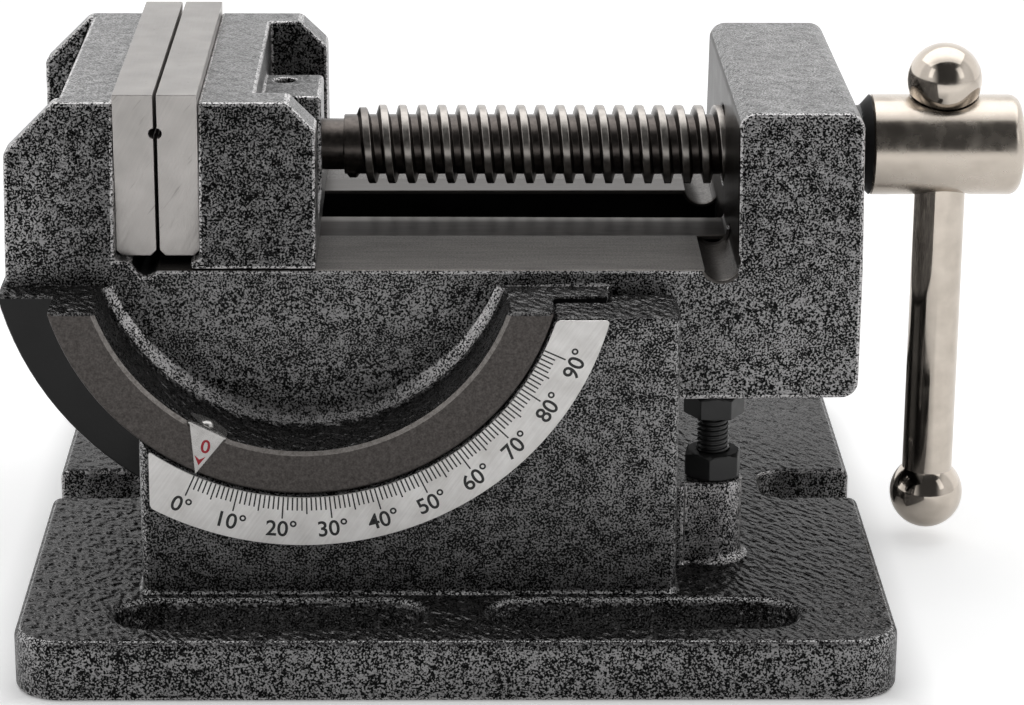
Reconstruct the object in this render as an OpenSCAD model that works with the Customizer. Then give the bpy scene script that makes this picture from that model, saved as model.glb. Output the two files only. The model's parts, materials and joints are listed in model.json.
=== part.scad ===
// Tilting drill press vise with 4 inch jaws, in millimetres.
// Frame: X towards the handle, Y away from the angle scale, Z up,
// with the origin in the middle of the base's underside.

/* [Base plate] */
// Length of the base plate
base_l = 209; // [180:1:260]
// Thickness of the base plate
base_t = 15; // [10:0.5:25]
// Plan radius of the plate's corners
base_corner_r = 12; // [6:0.5:20]
// Rounding of the plate's top edge
base_edge_r = 2.5; // [1:0.5:4]
// Bolt slot length, end to end
slot_l = 73; // [40:1:85]
// Bolt slot width
slot_w = 16.5; // [10:0.5:22]
// Rounding of the slots' top edges
slot_round = 2.5; // [1:0.1:3]
// Iron between the two slots of one side
slot_gap = 16; // [8:1:30]
// Iron between a slot and the edge of the plate
slot_edge = 10; // [6:0.5:20]
// Flat between a slot and the foot of a cheek
slot_land = 1.4; // [0.5:0.1:6]
// End notch width
notch_w = 20; // [12:0.5:30]
// End notch depth
notch_d = 25; // [14:0.5:28]
// Rounding of the end notches' inner corners
notch_r = 6; // [2:0.5:9]

/* [Cheeks] */
// Reach of the cheeks from the tilt axis towards the fixed jaw
cheek_left = 39.1; // [30:0.1:50]
// Reach of the cheeks from the tilt axis towards the handle
cheek_right = 89.6; // [80:0.1:96]
// Thickness of the lip that carries the rim
lip_t = 12.8; // [8:0.1:16]
// Drop of the cheek tops below the rocker's flat
cheek_below = 1.5; // [0.5:0.1:4]
// Rounding of the cheeks' upright edges
cheek_edge_r = 2.5; // [1:0.1:5]
// Casting fillet at the foot of the cheeks
foot_r = 1.8; // [1:0.1:4]

/* [Tilt guide] */
// Tilt axis along X, from the middle of the base
tilt_x = -36.6; // [-45:0.1:-20]
// Tilt axis above the top of the base plate
tilt_h = 88; // [82:0.5:100]
// Outer radius of the machined rim
rim_r = 62.1; // [56:0.1:66]
// Radial width of the rim
rim_w = 10.6; // [6:0.1:14]
// Bevel on the rim's inner edge
rim_bevel = 0.9; // [0.3:0.1:2]
// Stand-out of the rim beyond the cheeks
rim_proud = 0.5; // [0.1:0.1:1.5]
// Fillet between the rim and the side of the body
rim_fillet = 6; // [3:0.5:8]
// Radius of the rocker flange behind the lip
flange_r = 75; // [70:0.5:80]
// Thickness of the flange outside the body's side
flange_t = 7.5; // [5:0.1:10]
// Drop of the rocker's flat below the ways
rocker_below = 4; // [2:0.5:8]
// Radial clearance between rim and lip
seat_clear = 0.3; // [0.2:0.05:0.8]
// Radial clearance round the flange
pocket_clear = 0.5; // [0.3:0.1:1.5]
// Side clearance between flange and lip
side_clear = 0.3; // [0.2:0.05:0.8]
// Side clearance between body and cheeks
bay_clear = 1.3; // [0.8:0.1:3]

/* [Vise body] */
// Width of the body at the ways
body_w = 111.4; // [100:0.1:124]
// Drop of the ways below the tilt axis
ways_drop = 12.5; // [8:0.5:18]
// Width of the slot between the ways
way_slot_w = 24; // [16:0.5:34]
// Thickness of the ways
way_t = 12; // [8:0.5:16]
// Thickness of the side walls under the ways
wall_t = 13.7; // [8:0.1:18]
// Lean of the sides above the ways, in degrees
draft_up = 10; // [2:0.5:12]
// Lean of the sides below the ways, in degrees
draft_down = 1.5; // [0.5:0.5:4]
// Reach of the body from the tilt axis past the fixed jaw
body_left = 71.8; // [66:0.1:80]
// Height of the jaw pads above the ways
jaw_h = 39.5; // [34:0.5:50]
// Tilt axis to the seat of the fixed jaw plate
jaw_back = 45.4; // [40:0.1:50]
// Thickness of the fixed jaw's pad
fixed_pad = 13.5; // [10:0.5:16]
// Width of the open pocket behind the fixed jaw
fixed_pocket_w = 86; // [70:0.5:90]
// Height of the pocket floors above the ways
pocket_floor = 8; // [4:0.5:14]
// Bevel on the back corner of the fixed jaw
fixed_bevel = 12; // [4:0.5:14]
// Tilt axis to the near face of the nut block
block_reach = 104.4; // [100:0.1:115]
// Thickness of the nut block
block_t = 30.2; // [24:0.1:40]
// Top of the nut block above the screw axis
block_rise = 20.5; // [16:0.5:30]
// Rounding of the nut block's edges
block_r = 4; // [2:0.5:6]
// Drop of the nut block's underside below the ways
tail_drop = 33; // [28:0.5:40]
// Length of the side walls under the ways, left of the nut block
tail_l = 50; // [30:1:60]
// Width of the sloping strip on each side of the way slot
strip_w = 14.5; // [8:0.5:18]
// Rise of those strips above the ways at the slot
strip_rise = 0.8; // [0.2:0.1:1.5]
// Radius of the relief grooves at the end of the ways
relief_r = 4.4; // [3:0.1:6]
// Depth of the relief grooves
relief_d = 2.6; // [1:0.1:4]

/* [Jaws] */
// Width of the jaw plates
plate_w = 101.6; // [90:0.1:110]
// Thickness of the jaw plates
plate_t = 9.7; // [8.5:0.1:14]
// Gap under the jaw plates
plate_lift = 2.1; // [1:0.1:4]
// Height of the jaw plates above the pads
plate_proud = 2.5; // [0.5:0.1:5]
// Bevel on the plates' lower corners
plate_bevel = 1.4; // [0.5:0.1:2.5]
// Width of the ledge that carries a plate
ledge_w = 2; // [1:0.1:3.5]
// Depth of the chip groove under the plates
chip_d = 1.5; // [0.5:0.1:2]
// Radius of the groove along the plates for round stock
stock_groove_r = 1.2; // [0.6:0.1:2]
// Height of that groove above the ways
stock_groove_h = 32.5; // [20:0.5:36]
// Gap between the plates at rest
jaw_gap = 0.8; // [0.4:0.1:5]
// Length of the moving jaw behind its plate
mjaw_l = 28.1; // [24:0.1:36]
// Thickness of the moving jaw's pad
mjaw_pad = 13.3; // [10:0.1:15]
// Width of the open pocket behind the moving jaw
mjaw_pocket_w = 76; // [60:0.5:86]
// Bevel on the back corner of the moving jaw
mjaw_bevel = 6.8; // [3:0.1:10]
// Width of the boss that holds the screw's nose
nose_boss_w = 23; // [20:0.5:34]
// Top of that boss above the screw axis
nose_boss_rise = 15.2; // [12:0.1:20]
// Sliding clearance between flat faces
slide_clear = 0.1; // [0.05:0.01:0.3]

/* [Hold-down] */
// Overlap of the hold-down plate under each way
keeper_lap = 18; // [10:0.5:22]
// Thickness of the hold-down plate
keeper_t = 8; // [5:0.5:12]
// Length of the hold-down plate and the tongue above it
keeper_l = 25; // [20:0.5:27]

/* [Lead screw] */
// Outer diameter of the thread
screw_d = 20; // [16:0.5:24]
// Root diameter of the thread
root_d = 15.2; // [11:0.1:15.6]
// Pitch of the thread
pitch = 5; // [4:0.5:6]
// Width of the thread's ridge at its root
ridge_root = 3.1; // [2:0.1:3.4]
// Width of the thread's ridge at its crest
ridge_crest = 1.8; // [1:0.1:2.4]
// Screw axis above the ways
screw_h = 16.5; // [15:0.5:22]
// Clearance round the thread in the nut block
thread_clear = 0.3; // [0.2:0.05:0.6]
// Diameter of the plain nose
nose_d = 13; // [10:0.5:14]
// Bare length of the nose in front of the moving jaw
nose_free = 5.5; // [3:0.5:10]
// Length of the nose inside the moving jaw
nose_in = 18; // [15:0.5:22]
// Running clearance of the nose in its bore
nose_clear = 0.08; // [0.04:0.01:0.1]
// Diameter of the pin that holds the nose
pin_d = 5; // [3:0.5:6]
// Distance of that pin from the screw axis
pin_off = 6; // [5:0.25:7]
// Distance of that pin from the back of the moving jaw
pin_in = 9.7; // [8:0.1:11]

/* [Handle] */
// Diameter of the hub and collar
hub_d = 25.5; // [22:0.5:32]
// Length of the hub
hub_l = 38.3; // [30:0.1:50]
// Rounding of the hub's outer end
hub_round = 3; // [0.5:0.1:4]
// Length of the collar
collar_l = 5.6; // [4:0.1:12]
// Diameter of the collar's plain end
collar_d = 20; // [18:0.5:24]
// Length of the collar's flare towards the hub
collar_flare = 2.5; // [1:0.1:3.5]
// Gap between the collar and the nut block at rest
collar_gap = 1.5; // [1:0.1:6]
// Distance of the handle bar from the hub's inner end
bar_off = 18.7; // [14:0.1:20]
// Diameter of the handle bar
bar_d = 13; // [8:0.5:14]
// Running clearance of the bar in the hub
bar_clear = 0.1; // [0.05:0.01:0.1]
// Diameter of the balls
ball_d = 19; // [16:0.1:24]
// Distance between the ball centres
bar_span = 111; // [90:0.1:130]
// Height of a resting ball's centre above the hub
ball_lift = 4.1; // [4:0.1:8]
// Clearance between a ball and its seat in the hub
ball_clear = 0.3; // [0.2:0.05:0.6]

/* [Scale and pointer] */
// Radial width of the angle scale
scale_w = 12.2; // [8:0.1:14]
// Thickness of the angle scale
scale_t = 0.6; // [0.3:0.1:1.2]
// Gap between the scale and the lip's edge
scale_gap = 0.5; // [0.2:0.1:1.5]
// Inset of the scale from the cheek's left edge
scale_inset = 2.4; // [0:0.1:5]
// Direction of the zero mark from the tilt axis, in degrees
zero_angle = 245.7; // [235:0.1:255]
// Thickness of the pointer sheet
pointer_t = 0.8; // [0.4:0.1:1.2]
// Width of the pointer at its bend
pointer_w = 10; // [6:0.5:14]
// Depth of the pointer's folded tab
pointer_tab = 7.5; // [5:0.5:10]
// Diameter of the pointer rivet's head
rivet_d = 4; // [3:0.1:5]
// Height of the pointer rivet's head
rivet_h = 1; // [0.6:0.1:1.5]

/* [Bolts] */
// Diameter of the stop bolt and the lock bolts
bolt_d = 8; // [6:0.5:10]
// Width across flats of their heads and nut
hex_af = 13; // [10:0.5:17]
// Height of a bolt head
hex_h = 5.5; // [4:0.1:8]
// Height of the jam nut
nut_h = 6.5; // [4:0.1:8]
// Bare thread between the jam nut and the stop bolt's head
stop_free = 9.5; // [4:0.5:14]
// Stop bolt's distance from the cheek's end
stop_out = 10.4; // [9:0.1:14]
// Radius of the stop bolt's boss
stop_boss_r = 7.3; // [6:0.1:9]
// Casting fillet at the foot of that boss
boss_foot_r = 3.2; // [1:0.1:5]
// Turn of the jam nut, in degrees
nut_turn = 20; // [0:5:60]
// Depth of the stop bolt in its boss
stop_depth = 14; // [8:0.5:16]
// Directions of the two lock bolts from the tilt axis, in degrees
lock_low_angle = -68; // [-74:1:-58]
// The same for the upper lock bolt
lock_high_angle = -34; // [-45:1:-28]
// Diameter of the jaw plate screws
plate_screw_d = 6; // [5:0.5:6]
// Distance between the two screws of one jaw plate
plate_screw_gap = 62; // [40:1:68]
// Height of those screws above the plate's lower edge
plate_screw_up = 16.8; // [12:0.1:22]
// Diameter of the hold-down screws
keeper_screw_d = 6; // [5:0.5:8]
// Clearance of screws and pins in their holes
hole_clear = 0.05; // [0.02:0.01:0.1]

/* [Hidden] */
$fn = 64;
// Cutters run past what they cut by this much
over = 1;
// Solids that make up one piece sink into each other by this much
join = 0.2;
// Room left past the end of a pin, nose or screw in its hole
end_clear = 0.5;
// Iron left at the bottom of a blind hole
blind = 2;
tilt_z = base_t + tilt_h;
ways_z = tilt_z - ways_drop;
pad_z = ways_z + jaw_h;
rocker_z = ways_z - rocker_below;
cavity_z = ways_z - way_t;
tail_z = ways_z - tail_drop;
screw_z = ways_z + screw_h;
block_z = screw_z + block_rise;
cheek_z = rocker_z - cheek_below;
plate_z = ways_z + plate_lift;
plate_h = jaw_h + plate_proud - plate_lift;
plate_screw_z = plate_z + plate_screw_up;
floor_z = ways_z + pocket_floor;

body_y = body_w / 2;
flange_y = body_y + flange_t;
lip_y = flange_y + side_clear;
cheek_y = lip_y + lip_t;
rim_y = cheek_y + rim_proud;
bay_y = body_y + bay_clear;
cavity_y = body_y - wall_t;
strip_y = way_slot_w / 2 + strip_w;
slot_y = cheek_y + foot_r + slot_land + slot_w / 2;
base_w = 2 * (slot_y + slot_w / 2 + slot_edge);
slot_x = (slot_l + slot_gap) / 2;

rim_in = rim_r - rim_w;
seat_r = rim_r + seat_clear;
pocket_r = flange_r + pocket_clear;

cheek_x0 = tilt_x - cheek_left;
cheek_x1 = tilt_x + cheek_right;
body_x0 = tilt_x - body_left;
seat_x = tilt_x - jaw_back;
jaw_x = seat_x + plate_t;
mplate_x = jaw_x + jaw_gap;
mseat_x = mplate_x + plate_t;
mjaw_x1 = mseat_x + mjaw_l;
block_x0 = tilt_x + block_reach;
block_x1 = block_x0 + block_t;
collar_x = block_x1 + collar_gap;
hub_x = collar_x + collar_l;
bar_x = hub_x + bar_off;

hub_r = hub_d / 2;
ball_r = ball_d / 2;
bar_r = bar_d / 2;
ball_rest = hub_r + ball_lift;
bar_top = screw_z + ball_rest;
bar_bottom = bar_top - bar_span;
// Distance from a ball's centre to the bar's shoulder
shoulder = sqrt(ball_r * ball_r - bar_r * bar_r) + hole_clear;
// The bar's ends are turned down to this radius and enter the balls past their middle
spigot_r = 0.6 * bar_r;
spigot_l = shoulder + blind;
// Bevel on the hub's inner end
hub_inner_bevel = 0.6;

stop_x = cheek_x1 + stop_out;
stop_y = -(body_y - wall_t / 2);
stop_head_z = tail_z - slide_clear / 2;
boss_z = stop_head_z - hex_h - stop_free - nut_h;
bolt_r = bolt_d / 2;
hex_corner = hex_af / cos(30) / 2;
// A hexagon's end face is round, a little inside its flats
hex_face_r = 0.95 * hex_af / 2;
hex_slope = 30;
// The lock bolts press on the flange just inside its edge
lock_r = flange_r - bolt_r - end_clear;
lock_angles = [lock_low_angle, lock_high_angle];

// The pointer's bend lies a little to the left of its tip, in degrees
pointer_lean = 2;
pointer_half = asin(pointer_w / 2 / rim_in);
tab_end_r = 0.53 * pointer_w;
rivet_shank_r = rivet_d / 4;
rivet_l = rim_w / 2;
rivet_dome_r = 0.6 * rivet_d;
// The flat underside of the rivet's head clears the hollow tab by this much at the middle
tab_r = rim_in - pointer_t;
rivet_lift = tab_r - sqrt(tab_r * tab_r - rivet_d * rivet_d / 4) + hole_clear;

pin_x = mjaw_x1 - pin_in;
// The pin stands clear of its groove in the nose by this much
pin_play = 0.25;
nose_boss_z = screw_z + nose_boss_rise;
pin_top = nose_boss_z - blind;
pin_bottom = screw_z - nose_d / 2 - blind;
keeper_x = mseat_x + mjaw_l / 2 - keeper_l / 2;
keeper_round = 2;
tongue_z = cavity_z - 2 * slide_clear;
tongue_w = way_slot_w - 3 * slide_clear;
// The way slot runs past the closed jaw's tongue by this much
slot_run = 5;
way_x0 = jaw_x + jaw_gap / 2;
// The cavity under the ways stops this far from the nut block
block_heel = 2;
// The relief grooves bite this far into the nut block
relief_bite = 0.4;

// Socket head screws, as shares of their diameter
head_share = 1.65;
key_share = 0.95;
// A head lies this deep in its counterbore, and stands this far from its wall
head_sunk = 0.3;

root_r = root_d / 2;
// The shank is turned down from the thread's root by this much
shank_step = 0.5;
shank_r = root_r - shank_step;
shank_x1 = bar_x - bar_r - blind;
thread_x0 = mjaw_x1 + nose_free;
thread_x1 = collar_x - over;
thread_sides = 24;
turns = floor((thread_x1 - thread_x0 - ridge_root) / pitch);
steps = turns * thread_sides;
// The first turn starts at this share of the full depth
first_depth = 0.35;
// The ridge's four corners: distance along the axis, and share of the full depth
ridge = [
    [0, 0], [(ridge_root - ridge_crest) / 2, 1], [(ridge_root + ridge_crest) / 2, 1], [ridge_root, 0]];

// Plain shapes and placing

// Extrudes an outline drawn in X and Z from y0 to y1
module along_y(y0, y1) {
    translate([0, y1, 0]) rotate([90, 0, 0]) linear_extrude(y1 - y0) children();
}

// Extrudes an outline drawn in Y and Z from x0 to x1
module along_x(x0, x1) {
    translate([x0, 0, 0]) rotate([90, 0, 90]) linear_extrude(x1 - x0) children();
}

// Repeats its children on the rear side
module both_sides() {
    for (side = [0, 1]) mirror([0, side, 0]) children();
}

// Lies along X from x0 to x1 on the screw axis
module screw_rod(r, x0, x1) {
    translate([x0, 0, screw_z]) rotate([0, 90, 0]) cylinder(r = r, h = x1 - x0);
}

// What has to go from a right-angled corner to round it off, about the arc's centre
module corner_waste(r) {
    difference() {
        square(r + over);
        circle(r);
    }
}

// Rectangle from a to b whose listed corners are round: [low-left, low-right, top-right, top-left]
module rounded_rect(a, b, r, corners = [1, 1, 1, 1]) {
    difference() {
        translate(a) square(b - a);
        if (corners[0]) translate([a.x + r, a.y + r]) rotate(180) corner_waste(r);
        if (corners[1]) translate([b.x - r, a.y + r]) rotate(270) corner_waste(r);
        if (corners[2]) translate([b.x - r, b.y - r]) corner_waste(r);
        if (corners[3]) translate([a.x + r, b.y - r]) rotate(90) corner_waste(r);
    }
}

// Slot with round ends, drawn about its centre along X
module obround(l, w) {
    square([l - w, w], center = true);
    for (s = [-1, 1]) translate([s * (l - w) / 2, 0]) circle(w / 2);
}

// Concave fillet section in the corner of a floor and a wall. It sinks a little into both,
// and its arc, a little larger than the fillet, meets them at a small angle.
module fillet_section(r) {
    leg = 0.78 * r;
    arc_r = 1.03 * r;
    difference() {
        translate([-2 * join, -2 * join]) square(leg + 2 * join);
        translate([r, r]) circle(arc_r);
    }
}

// Hexagon bolt along -Z, with the top of its head at the origin
module hex_bolt(l) {
    translate([0, 0, -hex_h]) hex_prism(hex_h, false);
    translate([0, 0, -hex_h - l]) cylinder(r = bolt_r, h = l + join);
}

// Hexagon whose corners are bevelled at the top, and at the foot too on a nut
module hex_prism(h, nut) {
    reach = hex_corner + over;
    drop = (reach - hex_face_r) * tan(hex_slope);
    intersection() {
        cylinder(r = hex_corner, h = h, $fn = 6);
        rotate_extrude() polygon(concat(
            [[reach, h - drop], [hex_face_r, h], [0, h], [0, 0]],
            nut ? [[hex_face_r, 0], [reach, drop]] : [[reach, 0]]));
    }
}

// Socket head screw along -Z, with its head above the origin
module socket_screw(d, l) {
    difference() {
        union() {
            translate([0, 0, -l]) cylinder(d = d, h = l + join);
            cylinder(d = head_share * d, h = d - head_sunk);
        }
        translate([0, 0, d / 2]) cylinder(d = key_share * d, h = d, $fn = 6);
    }
}

// Tilt guide

// Places what is drawn about the tilt axis, with its height outwards from the middle plane
module at_tilt() {
    translate([tilt_x, 0, tilt_z]) rotate([90, 0, 0]) children();
}

// All that lies under the rocker's flat
module below_flat() {
    reach = 2 * flange_r;
    translate([tilt_x - reach, -reach, rocker_z - reach]) cube([2 * reach, 2 * reach, reach]);
}

// Flange, rim and fillet on the front side of the body
module rocker_side() {
    intersection() {
        at_tilt() union() {
            difference() {
                translate([0, 0, cavity_y]) cylinder(r = flange_r, h = flange_y - cavity_y);
                translate([0, 0, cavity_y - over]) cylinder(r = rim_in, h = flange_y);
            }
            translate([0, 0, cavity_y]) rim_ring();
            rotate_extrude() translate([rim_in, body_y - over]) mirror([1, 0]) fillet_section(rim_fillet);
        }
        below_flat();
    }
}

module rim_ring() {
    h = rim_y - cavity_y;
    rotate_extrude() polygon([
        [rim_in, 0], [rim_r, 0], [rim_r, h], [rim_in + rim_bevel, h], [rim_in, h - rim_bevel]]);
}

// Base

module base_plate() {
    r = base_corner_r;
    e = base_edge_r;
    inner_x = base_l / 2 - r;
    inner_y = base_w / 2 - r;
    translate([-inner_x, -inner_y, 0]) cube([2 * inner_x, 2 * inner_y, base_t]);
    for (turn = [0, 180]) rotate(turn) {
        along_x(-inner_x, inner_x) translate([inner_y, 0]) plate_edge(r, e);
        along_y(-inner_y, inner_y) translate([inner_x, 0]) plate_edge(r, e);
        translate([inner_x, inner_y, 0]) rotate_extrude(angle = 90) plate_edge(r, e);
        translate([-inner_x, inner_y, 0]) rotate(90) rotate_extrude(angle = 90) plate_edge(r, e);
    }
}

module plate_edge(r, e) {
    rounded_rect([0, 0], [r, base_t], e, [0, 0, 1, 0]);
}

module base_cuts() {
    for (sx = [-1, 1]) for (sy = [-1, 1]) translate([sx * slot_x, sy * slot_y, 0]) bolt_slot();
    for (turn = [0, 180]) rotate(turn) translate([0, 0, -over]) linear_extrude(base_t + 2 * over)
        rounded_rect([base_l / 2 - notch_d, -notch_w / 2], [base_l / 2 + over, notch_w / 2], notch_r,
            [1, 0, 0, 1]);
}

// Slot with its top edge rounded
module bolt_slot() {
    run = (slot_l - slot_w) / 2;
    translate([0, 0, -over]) linear_extrude(base_t + 2 * over) obround(slot_l, slot_w);
    for (turn = [0, 180]) rotate(turn) {
        along_x(-run, run) slot_edge_waste();
        translate([run, 0, 0]) rotate(-90) rotate_extrude(angle = 180) slot_edge_waste();
    }
}

module slot_edge_waste() {
    translate([slot_w / 2 + slot_round, base_t - slot_round]) mirror([1, 0]) corner_waste(slot_round);
}

module front_cheek() {
    a = [cheek_x0, -cheek_y];
    b = [cheek_x1, -bay_y];
    r = cheek_edge_r;
    translate([0, 0, base_t - over]) linear_extrude(cheek_z - base_t + over) rounded_rect(a, b, r);
    along_x(a.x + r, b.x - r) translate([a.y, base_t]) mirror([1, 0]) fillet_section(foot_r);
    along_y(a.y + r, b.y - r) translate([b.x, base_t]) fillet_section(foot_r);
    along_y(a.y + r, b.y - r) translate([a.x, base_t]) mirror([1, 0]) fillet_section(foot_r);
    translate([a.x + r, a.y + r, base_t]) rotate(180) rotate_extrude(angle = 90)
        translate([r, 0]) fillet_section(foot_r);
    translate([b.x - r, a.y + r, base_t]) rotate(270) rotate_extrude(angle = 90)
        translate([r, 0]) fillet_section(foot_r);
}

module stop_boss() {
    h = boss_z - base_t + over;
    link = stop_x - cheek_x1 + cheek_edge_r + over;
    translate([stop_x, stop_y, base_t - over]) {
        cylinder(r = stop_boss_r, h = h);
        translate([-link, -stop_boss_r, 0]) cube([link, 2 * stop_boss_r, h]);
    }
    translate([cheek_x1 - cheek_edge_r - over, -bay_y - over, base_t - over])
        cube([cheek_edge_r + over + stop_out - stop_boss_r, bay_y + stop_y + over, h]);
    translate([stop_x, stop_y, base_t]) rotate_extrude()
        translate([stop_boss_r, 0]) fillet_section(boss_foot_r);
}

module base() color("dimgray") difference() {
    union() {
        base_plate();
        both_sides() front_cheek();
        stop_boss();
    }
    base_cuts();
    both_sides() at_tilt() {
        cylinder(r = seat_r, h = cheek_y + over);
        cylinder(r = pocket_r, h = lip_y);
    }
    translate([stop_x, stop_y, boss_z - stop_depth - over])
        cylinder(r = bolt_r + hole_clear, h = stop_depth + 2 * over);
    for (angle = lock_angles) at_lock(angle)
        translate([0, 0, -lip_t - over]) cylinder(r = bolt_r + hole_clear, h = lip_t + 2 * over);
}

module angle_scale() color("gainsboro") along_y(-cheek_y - scale_t, -cheek_y) intersection() {
    translate([tilt_x, tilt_z]) difference() {
        circle(seat_r + scale_gap + scale_w);
        circle(seat_r + scale_gap);
    }
    translate([cheek_x0 + scale_inset, base_t])
        square([cheek_x1 - cheek_x0 - 2 * scale_inset, cheek_z - scale_gap - base_t]);
}

module stop_bolt() color("black") translate([stop_x, stop_y, stop_head_z])
    hex_bolt(stop_free + nut_h + stop_depth);

module stop_nut() color("black") translate([stop_x, stop_y, boss_z]) difference() {
    rotate(nut_turn) hex_prism(nut_h, true);
    translate([0, 0, -over]) cylinder(r = bolt_r + hole_clear, h = nut_h + 2 * over);
}

// Puts a bolt in the rear lip, pointing at the flange, with the head's underside at the lip's face
module at_lock(angle) {
    translate([tilt_x + lock_r * cos(angle), cheek_y, tilt_z + lock_r * sin(angle)])
        rotate([-90, 0, 0]) children();
}

module lock_bolt(angle) color("black") at_lock(angle)
    translate([0, 0, hex_h + slide_clear]) hex_bolt(lip_t + side_clear);

module lock_bolt_low() lock_bolt(lock_low_angle);

module lock_bolt_high() lock_bolt(lock_high_angle);

// Tilting body

// Cross-section of the castings: widest at the ways, leaning in above and below
module draft_section(top_z, low_z) {
    top_y = body_y - (top_z - ways_z) * tan(draft_up);
    low_y = body_y - (ways_z - low_z) * tan(draft_down);
    polygon([
        [-low_y, low_z], [low_y, low_z], [body_y, ways_z],
        [top_y, top_z], [-top_y, top_z], [-body_y, ways_z]]);
}

// Outline of the fixed jaw and the ways in X and Z
module bed_outline() {
    ledge_x = seat_x + ledge_w + plate_bevel;
    polygon([
        [body_x0, rocker_z], [body_x0, pad_z - fixed_bevel], [body_x0 + fixed_bevel, pad_z],
        [seat_x, pad_z], [seat_x, plate_z], [ledge_x, plate_z],
        [ledge_x + 2 * chip_d, ways_z - chip_d], [way_x0 - chip_d, ways_z - chip_d], [way_x0, ways_z],
        [block_x1 - block_r, ways_z], [block_x1 - block_r, cavity_z],
        [body_x0 + rocker_below, cavity_z]]);
}

module nut_block() {
    intersection() {
        along_y(-body_w, body_w)
            rounded_rect([block_x0, tail_z], [block_x1, block_z], block_r, [0, 1, 1, 1]);
        along_x(block_x0 - over, block_x1 + over) draft_section(block_z, tail_z);
    }
}

module body_walls() {
    translate([block_x0 - tail_l, -body_w, tail_z])
        cube([tail_l + over, 2 * body_w, ways_z - tail_z - over]);
    intersection() {
        translate([0, body_w, 0]) at_tilt() cylinder(r = flange_r, h = 2 * body_w);
        below_flat();
    }
}

module plate_screw_holes(x0, x1) {
    for (s = [-1, 1]) translate([x0, s * plate_screw_gap / 2, plate_screw_z])
        rotate([0, 90, 0]) cylinder(d = plate_screw_d + 2 * hole_clear, h = x1 - x0);
}

module vise_body() color("dimgray") difference() {
    union() {
        intersection() {
            union() {
                along_y(-body_w, body_w) bed_outline();
                body_walls();
            }
            along_x(body_x0 - body_w, block_x1 + over) draft_section(pad_z, tilt_z - flange_r - over);
        }
        nut_block();
        both_sides() rocker_side();
        along_x(way_x0, block_x0 + over) strip_section(ways_z);
    }
    translate([body_x0 - body_w, -cavity_y, 0])
        cube([block_x0 - block_heel - body_x0 + body_w, 2 * cavity_y, cavity_z]);
    translate([keeper_x - slot_run, -way_slot_w / 2, cavity_z - over])
        cube([block_x0 - keeper_x + slot_run, way_slot_w, way_t + strip_rise + 2 * over]);
    translate([body_x0 - over, -fixed_pocket_w / 2, floor_z])
        cube([seat_x - fixed_pad - body_x0 + over, fixed_pocket_w, jaw_h]);
    relief_groove(-body_w, -strip_y);
    relief_groove(way_slot_w / 2 - over, body_w);
    screw_rod(screw_d / 2 + thread_clear, block_x0 - over, block_x1 + over);
    plate_screw_holes(seat_x - fixed_pad + blind, seat_x + over);
    pointer_rivet_hole();
}

// Section of the two strips in Y and Z, from the ways' height up to the slot's edges
module strip_section(z0) {
    slot_edge = way_slot_w / 2;
    polygon([
        [-strip_y, z0 - over], [strip_y, z0 - over], [strip_y, z0], [slot_edge, z0 + strip_rise],
        [-slot_edge, z0 + strip_rise], [-strip_y, z0]]);
}

// Run-out groove across the end of the ways, at the foot of the nut block
module relief_groove(y0, y1) {
    along_y(y0, y1)
        translate([block_x0 - relief_r + relief_bite, ways_z + relief_r - relief_d]) circle(relief_r);
}

// Jaw plates lie in X from 0 to plate_t, with the clamping face at plate_t
module jaw_plate() {
    difference() {
        along_y(-plate_w / 2, plate_w / 2) difference() {
            polygon([
                [0, plate_z + plate_bevel], [plate_bevel, plate_z], [plate_t - plate_bevel, plate_z],
                [plate_t, plate_z + plate_bevel], [plate_t, plate_z + plate_h], [0, plate_z + plate_h]]);
            translate([plate_t, ways_z + stock_groove_h]) circle(stock_groove_r);
        }
        plate_screw_holes(-over, plate_t + over);
        for (s = [-1, 1]) translate([plate_t - plate_screw_d, s * plate_screw_gap / 2, plate_screw_z])
            rotate([0, 90, 0])
                cylinder(d = head_share * plate_screw_d + 2 * head_sunk, h = plate_screw_d + over);
    }
}

module jaw_plate_screws(depth) {
    for (s = [-1, 1]) translate([plate_t - plate_screw_d, s * plate_screw_gap / 2, plate_screw_z])
        rotate([0, 90, 0]) socket_screw(plate_screw_d, depth);
}

module fixed_jaw_plate() color("silver") translate([seat_x, 0, 0]) jaw_plate();

module fixed_jaw_screws() color("darkslategray") translate([seat_x, 0, 0])
    jaw_plate_screws(plate_t - plate_screw_d + fixed_pad - 2 * blind);

// Places what is drawn with Z pointing outwards through the rim, at the middle of the pointer's tab
module pointer_rivet_place() {
    translate([tilt_x, -rim_y + pointer_tab / 2, tilt_z])
        rotate([0, 90 - zero_angle + pointer_lean, 0]) translate([0, 0, rim_in]) children();
}

// Through the tab and into the rim
module pointer_rivet_hole() {
    pointer_rivet_place() translate([0, 0, -rivet_l])
        cylinder(r = rivet_shank_r + hole_clear, h = 2 * rivet_l + end_clear);
}

// Outline of the tab, seen along the rivet: round at its far end
module pointer_tab_outline() {
    half_w = tab_end_r + over;
    bend_y = -pointer_tab / 2 - pointer_t - over;
    end_y = pointer_tab / 2 - tab_end_r;
    translate([0, end_y]) circle(tab_end_r);
    translate([-half_w, bend_y]) square([2 * half_w, end_y - bend_y]);
}

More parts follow.
